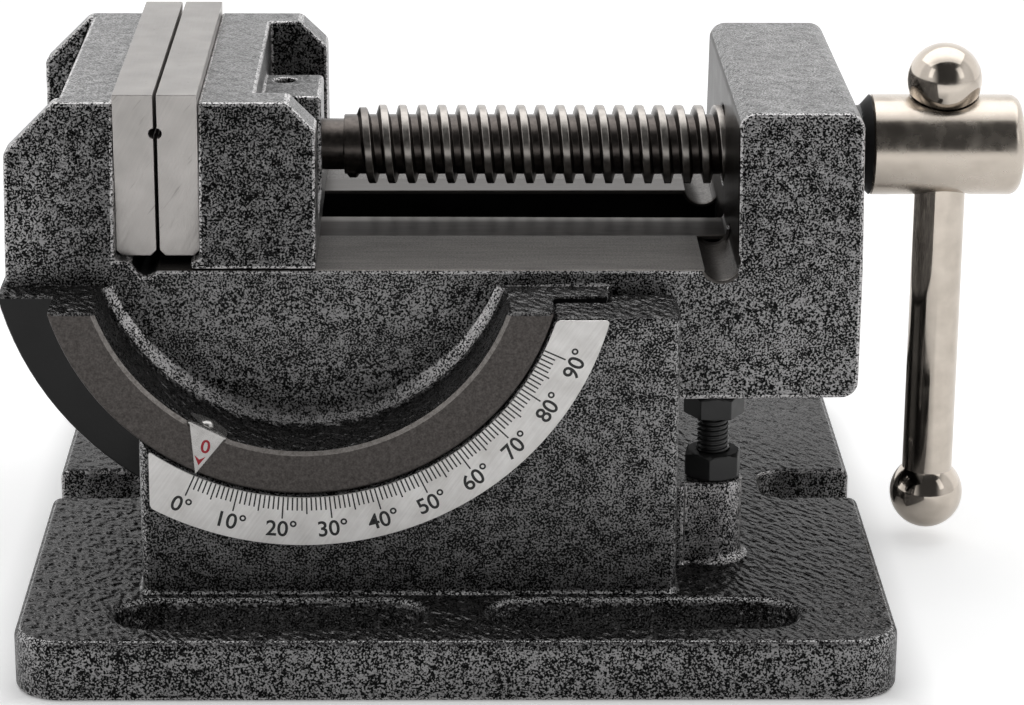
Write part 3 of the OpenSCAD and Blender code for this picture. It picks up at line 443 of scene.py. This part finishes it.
def ink(name, light, dark):
    # Screen-printed ink: a flat thin film, a little uneven.
    material, tree, place = start(name, Roughness=0.5)
    film = add(tree, "TexNoise", {"Vector": place, "Scale": per_mm(0.6), "Detail": 2.0})
    colour = add(tree, "Mix", {0: film.outputs["Fac"], 6: linear(dark), 7: linear(light)},
                 data_type="RGBA")
    return linked(material, colour.outputs[2])


def bright_sheet():
    # Bright tinned sheet: a clean pale metal, softly mirrored, with faint handling marks.
    material, tree, place = start("bright_sheet", Metallic=0.9)
    rub = add(tree, "TexNoise", {"Vector": place, "Scale": per_mm(2), "Detail": 3.0})
    colour = add(tree, "Mix", {0: rub.outputs["Fac"], 6: linear("#8f8d8b"), 7: linear("#b9b7b5")},
                 data_type="RGBA")
    rough = add(tree, "MapRange", {"Value": rub.outputs["Fac"], "To Min": 0.18, "To Max": 0.35})
    return linked(material, colour.outputs[2], rough.outputs[0])


# Where a coat's silver field is dimmed as painted shade, or a painted highlight fades out: a middle, two
# distances from it, and how much of the field shows there
# Painted shade: the drum face within the rim is darker, for the shade under the projecting rim and nut block.
painted_shade_near_drum = (tilt_axis, (50 * MM, 66 * MM), (0.74, 1.0))
# Painted shade: the cheeks darken further from the top corner at their end, down towards the base.
painted_shade_on_cheek = (cheek_corner, (10 * MM, 70 * MM), (0.92, 0.55))
# Painted highlight: the fillet's bright band fades out towards the bottom of the rim.
highlight_fade_along_rim = (rim_bottom, (18 * MM, 48 * MM), (0.35, 1.0))

enamel = hammertone_enamel("hammertone_enamel", "#0b0b0b", "#a3a2a2", 0.632)
# Partly rubbed wear and partly painted highlight: a lighter copy of the enamel, with fewer pits, for the
# rounded edges.
rubbed_and_highlit = hammertone_enamel("rubbed_and_highlit_hammertone_edge", "#1c1c1c", "#cfcdcd", 0.59)
# Painted shade: a darker copy of the enamel, with stronger wrinkles, for the base's tops, slots and plate
# edges, the cheeks' tops and the hollows in the rim.
wrinkled_and_shaded = hammertone_enamel("wrinkled_and_shaded_hammertone", "#1c1c1c", "#626161", 0.6,
                             wave_mm=1.7, wave_height=11, gloss=0.2, edge="#bfbfbf")
# Painted shade: the tilting body's and jaw's enamel, darkened on the drum face near the tilt axis.
shaded_near_drum = hammertone_enamel("shaded_near_drum_hammertone", "#0b0b0b", "#a3a2a2", 0.632, fade=painted_shade_near_drum)
# Painted shade: the cheeks' enamel, darker low down and away from their top corner.
shaded_cheek_coat = hammertone_enamel("shaded_cheek_hammertone", "#0b0b0b", "#a3a2a2", 0.632, fade=painted_shade_on_cheek)
# Painted highlight: a lighter copy of the enamel on the stop bolt's boss.
highlit_boss_coat = hammertone_enamel("highlit_boss_hammertone", "#121212", "#b9b7b7", 0.61)
# Painted highlight: a light copy of the enamel on the fillet's band next to the body's side, fading towards
# the rim's bottom.
highlit_fillet_coat = hammertone_enamel("highlit_fillet_hammertone", "#1c1c1c", "#cfcdcd", 0.59, fade=highlight_fade_along_rim)
milled = milled_iron("milled_iron", "#413e3c", "#605d5a", (0.08, 1.0, 1.0))
faced = milled_iron("faced_iron", "#3f3c3a", "#55514f", (1.0, 1.0, 1.0))
# Painted highlight: a lighter copy of the faced iron for the broken edge inside the rim.
highlit_edge_iron = milled_iron("highlit_broken_edge_iron", "#625e5b", "#817d7a", (1.0, 1.0, 1.0))
scraped = scraped_iron("scraped_iron", "#332f2d", "#4a4643", (0.03, 1.0, 1.0), "#84817e")
filed = scraped_iron("filed_iron", "#262423", "#484442", (1.0, 1.0, 0.05))
# Also laid in the hollow under the ways as painted shade.
gloss_black_and_shade = black_enamel()
ground = ground_steel("ground_steel", "#9b9895", "#bcb8b5")
shaded_ground_top = ground_steel("shaded_ground_steel_top", "#7f7c7a", "#9a9794")
# Painted shade: a darker copy of the ground steel for the plates' top faces.
turned = turned_steel()
black = black_oxide()
nickel = nickel_plate("nickel_plate", 0.06, 0.18)
satin_nickel = nickel_plate("satin_nickel_plate", 0.18, 0.34)
silver = scale_aluminium()
black_ink = ink("black_ink", "#1c1c1c", "#0c0c0c")
red_ink = ink("red_ink", "#b8152b", "#96101f")
sheet = bright_sheet()


# Castings: enamel all over, with the edges in a lighter enamel that is partly rubbed wear and partly painted
# highlight, and with the faces that a machine has cut

# How near to a surface a face's middle lies, and how far its normal is turned, to count as part of it
NEAR = 1.0 * MM
CLOSE = 0.3 * MM
TOUCHING = 0.1 * MM
ROUNDING = 1.2 * MM
RIM_EDGE = 1.5 * MM
FLUSH = 0.97
SQUARE = 0.9
CHAMFERED = 0.78
HALFWAY = 0.5
SLANTED = 0.3
GRAZING = 0.1


def casting(node, body, edge_mm, coat):
    """A merged casting with rounded edges in a lighter enamel, partly rubbed wear and partly painted
    highlight.
    """
    return eased(finish(merged(node), body, "hammertone_iron", coat, rubbed_and_highlit), edge_mm, rubbed_and_highlit)


def from_tilt(point):
    """Distance of a point from the tilt axis."""
    return math.hypot(point.x - tilt_axis.x, point.z - tilt_axis.z)


def from_stop(point):
    """Distance of a point from the stop bolt's axis."""
    return math.hypot(point.x - stop_axis.x, point.y - stop_axis.y)


def on_rim(centre, normal):
    """The rim's turned face, with its edges."""
    return abs(centre.y) > rim_y - RIM_EDGE and abs(normal.y) > GRAZING


def on_rim_edge(centre, normal):
    """The broken edge inside the rim."""
    inside = from_tilt(centre) < RIM_INNER_R + 2 * NEAR
    return inside and on_rim(centre, normal) and abs(normal.y) < CHAMFERED


def in_rim(centre, normal):
    """The rim's inner wall."""
    wall = abs(from_tilt(centre) - RIM_INNER_R) < CLOSE and abs(normal.y) < SLANTED
    return abs(centre.y) > BODY_SIDE_Y and wall


def on_flange(centre, normal):
    """The flange behind the rim."""
    return abs(abs(centre.y) - FLANGE_Y) < CLOSE and abs(normal.y) > SQUARE


def in_rim_corner(centre, normal):
    """The fillet between the rim's wall and the body's side."""
    inside = from_tilt(centre) < RIM_INNER_R + TOUCHING and centre.z < ways_z
    turning = GRAZING < abs(normal.y) < FLUSH
    return abs(centre.y) > BODY_SIDE_Y - NEAR and inside and turning


def on_corner_band(centre, normal):
    """The half of the fillet next to the body's side."""
    return in_rim_corner(centre, normal) and abs(normal.y) > HALFWAY


def on_rim_end(centre, normal):
    """The tops of the rim and flange, with their edges."""
    level = abs(centre.z - base_high.z - RIM_ABOVE_CHEEK) < ROUNDING
    outside = abs(centre.y) > BODY_SIDE_Y + CLOSE or centre.x < tilt_axis.x - RIM_INNER_R
    return level and normal.z > SLANTED and outside


def on_ways(centre, normal):
    """The ways, and the grooves at the nut block's foot."""
    way = normal.z > SQUARE and abs(centre.z - ways_z) < NEAR
    groove = TOUCHING < ways_z - centre.z < RELIEF_R and 0 < BLOCK_FACE_X - centre.x < 2 * RELIEF_R
    return abs(centre.y) < rim_y and (way or groove)


def on_strips(centre, normal):
    """The strips beside the slot, with their edges."""
    strip = abs(centre.z - ways_z) < NEAR and abs(centre.y) < STRIP_EDGE_Y + NEAR
    return strip and normal.z > GRAZING and centre.x < BLOCK_FACE_X


def on_block_face(centre, normal):
    """The nut block's inner face, with its foot beside the strips."""
    face = normal.x < -SQUARE and centre.z > ways_z
    foot = abs(centre.z - ways_z) < 2 * NEAR and abs(centre.y) < STRIP_EDGE_Y + NEAR
    return abs(centre.x - BLOCK_FACE_X) < NEAR and (face or foot)


# Painted shade: these faces get the black enamel, standing in for the dark inside the slot.
def in_cavity(centre, normal):
    """The slot between the ways, and the hollow under them."""
    return abs(centre.y) < CAVITY_Y + CLOSE and centre.z < ways_z - NEAR


def on_base_top(centre, normal):
    """The upper face of the base's plate."""
    return normal.z > SQUARE and abs(centre.z - BASE_T) < NEAR


def on_plate_edge(centre, normal):
    """The upper edges of the plate's four sides."""
    side = abs(centre.x) > base_high.x - ROUNDING or abs(centre.y) > base_high.y - ROUNDING
    return side and centre.z > BASE_T - ROUNDING and normal.z > GRAZING


def on_shoulder(centre, normal):
    """The cheeks' tops, with their edges."""
    return centre.z > base_high.z - ROUNDING and normal.z > SLANTED


def on_cheek(centre, normal):
    """The cheeks' outer faces."""
    outer = abs(abs(centre.y) - rim_y + RIM_PROUD) < CLOSE
    return outer and abs(normal.y) > SQUARE and centre.z > BASE_T


def on_boss(centre, normal):
    """The boss of the stop bolt, with the fillet at its foot."""
    return from_stop(centre) < BOSS_FOOT_R and centre.z > BASE_T + CLOSE


def in_slots(centre, normal):
    """The walls of the bolt slots."""
    along = SLOT_WALL_Y[0] < abs(centre.y) < SLOT_WALL_Y[1]
    return along and abs(normal.z) < HALFWAY and centre.z < BASE_T


base_casting = casting("base", "base", 1.0, enamel)
for material, wanted in ((wrinkled_and_shaded, on_base_top), (wrinkled_and_shaded, in_slots), (wrinkled_and_shaded, on_plate_edge),
                         (wrinkled_and_shaded, on_shoulder), (shaded_cheek_coat, on_cheek), (highlit_boss_coat, on_boss)):
    give_faces(base_casting, material, wanted)

body_casting = casting("vise_body", "tilting_body", 0.9, shaded_near_drum)
for material, wanted in ((faced, on_rim), (highlit_edge_iron, on_rim_edge), (wrinkled_and_shaded, in_rim),
                         (gloss_black_and_shade, on_flange), (wrinkled_and_shaded, in_rim_corner), (highlit_fillet_coat, on_corner_band),
                         (gloss_black_and_shade, in_cavity), (wrinkled_and_shaded, on_rim_end), (milled, on_ways),
                         (scraped, on_strips), (filed, on_block_face)):
    give_faces(body_casting, material, wanted)

casting("moving_jaw", "jaw", 0.8, shaded_near_drum)


# The other pieces, with their edges softened, and the screw turned to where its ridge shows

BOLT_EDGE_MM = 0.25
SCREW_TURN = -136
screw_place = Matrix.Translation(joints["screw_turn"]["pos_m"])
about_screw = screw_place @ Matrix.Rotation(math.radians(SCREW_TURN), 4, "X") @ screw_place.inverted()

for node, body_name, slot, edge_mm, material in (
        ("tilt_pointer", "tilting_body", "bright_sheet", 0.3, sheet),
        ("pointer_rivet", "tilting_body", "bright_sheet", 0, sheet),
        ("fixed_jaw_plate", "tilting_body", "ground_steel", 0.25, ground),
        ("moving_jaw_plate", "jaw", "ground_steel", 0.25, ground),
        ("lead_screw", "screw", "screw_steel", 0.2, turned),
        ("screw_collar", "screw", "black_steel", 0.4, black),
        ("screw_hub", "screw", "nickel", 0.5, satin_nickel),
        ("handle_bar", "handle", "nickel", 0, nickel),
        ("handle_ball_top", "handle", "nickel", 0, nickel),
        ("handle_ball_bottom", "handle", "nickel", 0, nickel),
        ("stop_nut", "base", "black_steel", BOLT_EDGE_MM, black),
        ("lock_bolt_low", "lock_low", "black_steel", BOLT_EDGE_MM, black),
        ("lock_bolt_high", "lock_high", "black_steel", BOLT_EDGE_MM, black)):
    piece = merged(node)
    if node == "lead_screw":
        piece.data.transform(about_screw)
    eased(finish(piece, body_name, slot, material), edge_mm)
    if material == ground:
        give_faces(piece, shaded_ground_top, lambda centre, normal: normal.z > SQUARE)

for node, material in (("fixed_jaw_screws", black), ("moving_jaw_screws", black), ("hold_down_screws", black),
                       ("hold_down_plate", ground), ("nose_pin", ground)):
    nodes[node].data.materials.clear()
    nodes[node].data.materials.append(material)


# Stop bolt: its thread shows between the jam nut and the head

BOLT_R = 4 * MM
BOLT_PITCH = 1.25 * MM
THREAD_DEPTH = 0.65 * MM
THREAD_FOOT_DEPTH = 1.2 * THREAD_DEPTH
THREAD_FOOT_W = 0.9 * BOLT_PITCH
THREAD_STEPS = 24
HEAD_H = 5.5 * MM


def turn_shank_down(piece):
    """Brings the plain shank to the thread's root."""
    for vertex in piece.data.vertices:
        reach = from_stop(vertex.co)
        if abs(reach - BOLT_R) < TOUCHING:
            share = (BOLT_R - THREAD_DEPTH) / reach
            vertex.co.x = stop_axis.x + (vertex.co.x - stop_axis.x) * share
            vertex.co.y = stop_axis.y + (vertex.co.y - stop_axis.y) * share


def thread_ridge():
    """A three-cornered section wound up the shank from inside the nut to the head."""
    bpy.ops.object.select_all(action="DESELECT")
    bpy.ops.mesh.primitive_circle_add(vertices=3, radius=THREAD_DEPTH, rotation=(math.pi / 2, 0, 0))
    ridge = bpy.context.object
    bpy.ops.object.transform_apply()
    root = BOLT_R - THREAD_FOOT_DEPTH
    corners = ((root, -THREAD_FOOT_W / 2), (BOLT_R, 0), (root, THREAD_FOOT_W / 2))
    for vertex, (reach, rise) in zip(ridge.data.vertices, corners):
        vertex.co = (reach, 0, rise)
    turns = math.floor((stop_high.z - HEAD_H - nut_top) / BOLT_PITCH) + 1
    modify(ridge, "SCREW", axis="Z", angle=math.tau, screw_offset=BOLT_PITCH, iterations=turns,
           steps=THREAD_STEPS, render_steps=THREAD_STEPS)
    bpy.ops.object.mode_set(mode="EDIT")
    bpy.ops.mesh.select_all(action="SELECT")
    bpy.ops.mesh.fill_holes(sides=3)
    bpy.ops.mesh.normals_make_consistent(inside=False)
    bpy.ops.object.mode_set(mode="OBJECT")
    ridge.data.transform(Matrix.Translation((stop_axis.x, stop_axis.y, nut_top - BOLT_PITCH / 2)))
    return ridge


stop_bolt = merged("stop_bolt")
turn_shank_down(stop_bolt)
eased(finish(stop_bolt, "base", "black_steel", black), BOLT_EDGE_MM)
ridge = thread_ridge()
ridge.data.materials.append(black)
joined("stop_bolt_finished", [stop_bolt, ridge])


# Angle scale: rounded corners, a mark for each degree and plain numbers

ZERO_ANGLE = 245.7
LAST_DEGREE = 90
SCALE_CORNER_R = 1.0 * MM
SCALE_CORNER_STEPS = 4
SCALE_CORNER_DEG = 60
SCALE_EDGE_MM = 0.15
INK_T = 0.03 * MM
INK_SPREAD = 0.08 * MM
MARK_W = 0.36 * MM
DEGREE_MARK = 3.3 * MM
FIVE_MARK = 4.2 * MM
TEN_MARK = 5.5 * MM
NUMBER_R = 71.2 * MM
NUMBER_H = 4.0 * MM
CAP_SHARE = 0.73
scale_outer_r = tilt_axis.z - scale_low.z
scale_inner_r = scale_outer_r - SCALE_WIDTH


def around_tilt(angle, reach, y):
    """Turns what points along +X to an angle about the tilt axis, and moves it out."""
    return (Matrix.Translation((tilt_axis.x, y, tilt_axis.z))
            @ Matrix.Rotation(-math.radians(angle), 4, "Y") @ Matrix.Translation((reach, 0, 0)))


def printed_bar(length, width):
    """A printed line along +X from the origin, facing the front."""
    bpy.ops.object.select_all(action="DESELECT")
    bpy.ops.mesh.primitive_plane_add(size=1, location=(length / 2, 0, 0), rotation=(math.pi / 2, 0, 0))
    bar = bpy.context.object
    bar.scale = (length, width, 1)
    bpy.ops.object.transform_apply()
    modify(bar, "SOLIDIFY", thickness=INK_T, offset=1)
    return bar


def printed_words(words, height):
    """Printed figures about the origin, facing the front, with their tops along -X."""
    bpy.ops.object.select_all(action="DESELECT")
    bpy.ops.object.text_add()
    text = bpy.context.object
    text.data.body = words
    text.data.size = height / CAP_SHARE
    text.data.align_x = "CENTER"
    text.data.align_y = "CENTER"
    text.data.extrude = INK_T / 2
    text.data.offset = INK_SPREAD
    bpy.ops.object.convert(target="MESH")
    text.data.transform(Matrix.Rotation(-math.pi / 2, 4, "Y") @ Matrix.Rotation(math.pi / 2, 4, "X"))
    return text


def at_scale_corner(run, face, other):
    """The four short edges through the plate at its corners."""
    turned = face.normal.angle(other.normal) > math.radians(SCALE_CORNER_DEG)
    return turned and abs(run.y) > SQUARE * run.length


scale_plate = finish(merged("angle_scale"), "base", "scale_aluminium", silver)
round_edges(scale_plate, SCALE_CORNER_R, SCALE_CORNER_STEPS, at_scale_corner)
eased(scale_plate, SCALE_EDGE_MM)

degree_bar = printed_bar(DEGREE_MARK, MARK_W)
five_bar = printed_bar(FIVE_MARK, MARK_W)
ten_bar = printed_bar(TEN_MARK, MARK_W)
scale_marks = []
for degree in range(LAST_DEGREE + 1):
    bar = ten_bar if degree % 10 == 0 else five_bar if degree % 5 == 0 else degree_bar
    scale_marks.append(placed(bar, around_tilt(ZERO_ANGLE + degree, scale_inner_r, scale_low.y)))
for degree in range(0, LAST_DEGREE + 1, 10):
    number = printed_words(f"{degree}°", NUMBER_H)
    number.data.transform(around_tilt(ZERO_ANGLE + degree, NUMBER_R, scale_low.y))
    scale_marks.append(number)
for bar in (degree_bar, five_bar, ten_bar):
    bpy.data.objects.remove(bar)
finish(joined("scale_marks", scale_marks), "base", "black_steel", black_ink)


# Red zero and arrowhead on the pointer

POINTER_MARK_ANGLE = 245.2
POINTER_MARK_TURN = 15
POINTER_ZERO_R = 54.9 * MM
POINTER_ZERO_H = 3.4 * MM
ARROW_R = 58.6 * MM
ARROW_L = 2.4 * MM
ARROW_W = 2.7 * MM
ARROW_NOTCH = 0.9 * MM


def arrowhead(length, width, notch):
    """A notched head that points along +X, facing the front."""
    bpy.ops.object.select_all(action="DESELECT")
    bpy.ops.mesh.primitive_circle_add(vertices=4, radius=width, fill_type="NGON",
                                      rotation=(math.pi / 2, 0, 0))
    head = bpy.context.object
    bpy.ops.object.transform_apply()
    corners = ((length / 2, 0), (-length / 2, width / 2), (-length / 2 + notch, 0), (-length / 2, -width / 2))
    for vertex, (x, z) in zip(head.data.vertices, corners):
        vertex.co = (x, 0, z)
    modify(head, "SOLIDIFY", thickness=INK_T, offset=1)
    bpy.ops.object.mode_set(mode="EDIT")
    bpy.ops.mesh.select_all(action="SELECT")
    bpy.ops.mesh.normals_make_consistent(inside=False)
    bpy.ops.object.mode_set(mode="OBJECT")
    return head


pointer_zero = printed_words("0", POINTER_ZERO_H)
upright = Matrix.Rotation(-math.radians(POINTER_MARK_TURN), 4, "Y")
pointer_zero.data.transform(around_tilt(POINTER_MARK_ANGLE, POINTER_ZERO_R, pointer_low.y) @ upright)
pointer_arrow = arrowhead(ARROW_L, ARROW_W, ARROW_NOTCH)
pointer_arrow.data.transform(around_tilt(POINTER_MARK_ANGLE, ARROW_R, pointer_low.y) @ upright)
finish(joined("pointer_marks", [pointer_zero, pointer_arrow]), "tilting_body", "bright_sheet", red_ink)


# Camera at the photograph's viewing angle

IMAGE_PX = (1024, 705)
FOCAL_PX = 3455.74
CENTRE_PX = (495.14, 345.97)
CAMERA_MM = (-2.93, -850.31, 333.35)
YAW, PITCH, ROLL = (math.radians(degrees) for degrees in (0.89, 18.25, 0.27))
SENSOR_MM = 36
NEAREST_SEEN = 10 * MM

ahead = Vector((math.sin(YAW) * math.cos(PITCH), math.cos(YAW) * math.cos(PITCH), -math.sin(PITCH)))
level_right = Vector((math.cos(YAW), -math.sin(YAW), 0))
level_up = level_right.cross(ahead)
right = level_right * math.cos(ROLL) + level_up * math.sin(ROLL)
up = level_up * math.cos(ROLL) - level_right * math.sin(ROLL)
lens = bpy.data.cameras.new("camera")
lens.sensor_fit = "HORIZONTAL"
lens.sensor_width = SENSOR_MM
lens.lens = FOCAL_PX / IMAGE_PX[0] * SENSOR_MM
lens.shift_x = (IMAGE_PX[0] / 2 - CENTRE_PX[0]) / IMAGE_PX[0]
lens.shift_y = (CENTRE_PX[1] - IMAGE_PX[1] / 2) / IMAGE_PX[0]
lens.clip_start = NEAREST_SEEN
camera = bpy.data.objects.new("camera", lens)
camera.matrix_world = (Matrix.Translation(Vector(CAMERA_MM) * MM)
                       @ Matrix((right, up, -ahead)).transposed().to_4x4())
bpy.context.scene.collection.objects.link(camera)
bpy.context.scene.camera = camera


# Floor, world and lights

FLOOR_SIZE = 6
WHITE = (1, 1, 1, 1)

# How far from the vise's middle the paper's glow starts, and where it is full: as the camera sees it,
# and as the metal mirrors it at the sides and in front
GLOW_START = 95 * MM
GLOW_FULL = 115 * MM
SIDE_GLOW_FULL = 150 * MM
FRONT_GLOW_FULL = 300 * MM


def seen_direct(tree):
    """1 for rays from the camera and for mirror and see-through rays, which show the white backdrop."""
    path = add(tree, "LightPath", {})
    both = add(tree, "Math", {0: path.outputs["Is Camera Ray"], 1: path.outputs["Is Glossy Ray"]},
               operation="MAXIMUM")
    return add(tree, "Math", {0: both.outputs[0], 1: path.outputs["Is Transmission Ray"]},
               operation="MAXIMUM")


def pale_floor():
    # Seamless white paper: matte, with a painted glow that carries it over into the white backdrop and is
    # left out under the base. Near the vise the glow rises slowly for mirror rays, as painted shade standing
    # for the vise's shadow on the paper.
    material, tree, place = start("white_paper", Roughness=0.9, Emission_Color=WHITE)
    speck = add(tree, "TexNoise", {"Vector": place, "Scale": per_mm(30), "Detail": 2.0})
    colour = add(tree, "Mix", {0: speck.outputs["Fac"], 6: linear("#e4e4e4"), 7: linear("#ededed")},
                 data_type="RGBA")
    clear = add(tree, "VectorMath", {0: place}, operation="ABSOLUTE")
    parts = add(tree, "SeparateXYZ", {"Vector": clear.outputs[0]})
    reach = add(tree, "Math", {0: parts.outputs["X"], 1: parts.outputs["Y"]}, operation="MAXIMUM")
    outside = add(tree, "MapRange", {"Value": reach.outputs[0], "From Min": GLOW_START,
                                     "From Max": GLOW_FULL, "To Max": 0.5})
    sideways = add(tree, "MapRange", {"Value": parts.outputs["X"], "From Min": GLOW_START,
                                      "From Max": SIDE_GLOW_FULL, "To Max": 0.6})
    forward = add(tree, "MapRange", {"Value": parts.outputs["Y"], "From Min": GLOW_START,
                                     "From Max": FRONT_GLOW_FULL, "To Max": 0.8})
    mirrored = add(tree, "Math", {0: sideways.outputs[0], 1: forward.outputs[0]}, operation="MAXIMUM")
    path = add(tree, "LightPath", {})
    glow = add(tree, "Mix", {0: path.outputs["Is Camera Ray"], 2: mirrored.outputs[0], 3: outside.outputs[0]},
               data_type="FLOAT")
    shown = add(tree, "Math", {0: seen_direct(tree).outputs[0], 1: glow.outputs[0]}, operation="MULTIPLY")
    tree.links.new(shown.outputs[0], tree.nodes["Principled BSDF"].inputs["Emission Strength"])
    return linked(material, colour.outputs[2])


bpy.ops.object.select_all(action="DESELECT")
bpy.ops.mesh.primitive_plane_add(size=FLOOR_SIZE, location=(0, 0, 0))
floor = bpy.context.object
floor.name = "floor"
floor.data.materials.append(pale_floor())

# The world is white to the camera, behind the vise and at its sides, and dim in front, as in a studio
FILL = 0.3
DIM_FRONT = 0.06
BRIGHT_REAR = 1.4
world = bpy.data.worlds.new("studio")
bpy.context.scene.world = world
world.use_nodes = True
sky = world.node_tree
backdrop = sky.nodes["Background"]
path = add(sky, "LightPath", {})
towards = add(sky, "TexCoord", {})
parts = add(sky, "SeparateXYZ", {"Vector": towards.outputs["Generated"]})
aside = add(sky, "Math", {0: parts.outputs["X"]}, operation="ABSOLUTE")
wide = add(sky, "MapRange", {"Value": aside.outputs[0], "From Min": 0.4, "From Max": 0.8,
                             "To Min": DIM_FRONT, "To Max": 1.0}, interpolation_type="SMOOTHSTEP")
behind = add(sky, "MapRange", {"Value": parts.outputs["Y"], "From Min": -0.3, "From Max": 0.2,
                               "To Min": DIM_FRONT, "To Max": BRIGHT_REAR}, interpolation_type="SMOOTHSTEP")
studio = add(sky, "Math", {0: wide.outputs[0], 1: behind.outputs[0]}, operation="MAXIMUM")
mirror = add(sky, "Math", {0: path.outputs["Is Glossy Ray"], 1: path.outputs["Is Transmission Ray"]},
             operation="MAXIMUM")
diffuse_or_mirror = add(sky, "Mix", {0: mirror.outputs[0], 2: FILL, 3: studio.outputs[0]}, data_type="FLOAT")
strength = add(sky, "Mix", {0: path.outputs["Is Camera Ray"], 2: diffuse_or_mirror.outputs[0], 3: 1.0},
               data_type="FLOAT")
sky.links.new(strength.outputs[0], backdrop.inputs["Strength"])
backdrop.inputs["Color"].default_value = WHITE


def softbox(name, place, aim, size, power):
    """A rectangular area lamp at a place, turned to a point."""
    lamp = bpy.data.lights.new(name, "AREA")
    lamp.shape = "RECTANGLE"
    lamp.size, lamp.size_y = size
    lamp.energy = power
    box = bpy.data.objects.new(name, lamp)
    box.matrix_world = (Matrix.Translation(place)
                        @ (Vector(aim) - Vector(place)).to_track_quat("-Z", "Y").to_matrix().to_4x4())
    bpy.context.scene.collection.objects.link(box)


middle = (0, 0, 0.06)
softbox("front_left", place=(-0.95, -0.75, 0.8), aim=middle, size=(0.35, 0.7), power=0.8)
softbox("front_right", place=(0.95, -0.75, 0.75), aim=middle, size=(0.35, 0.7), power=0.7)
softbox("overhead", place=(0, 0.2, 1.1), aim=middle, size=(2.0, 1.2), power=9.5)

bpy.context.scene.view_settings.view_transform = "Standard"
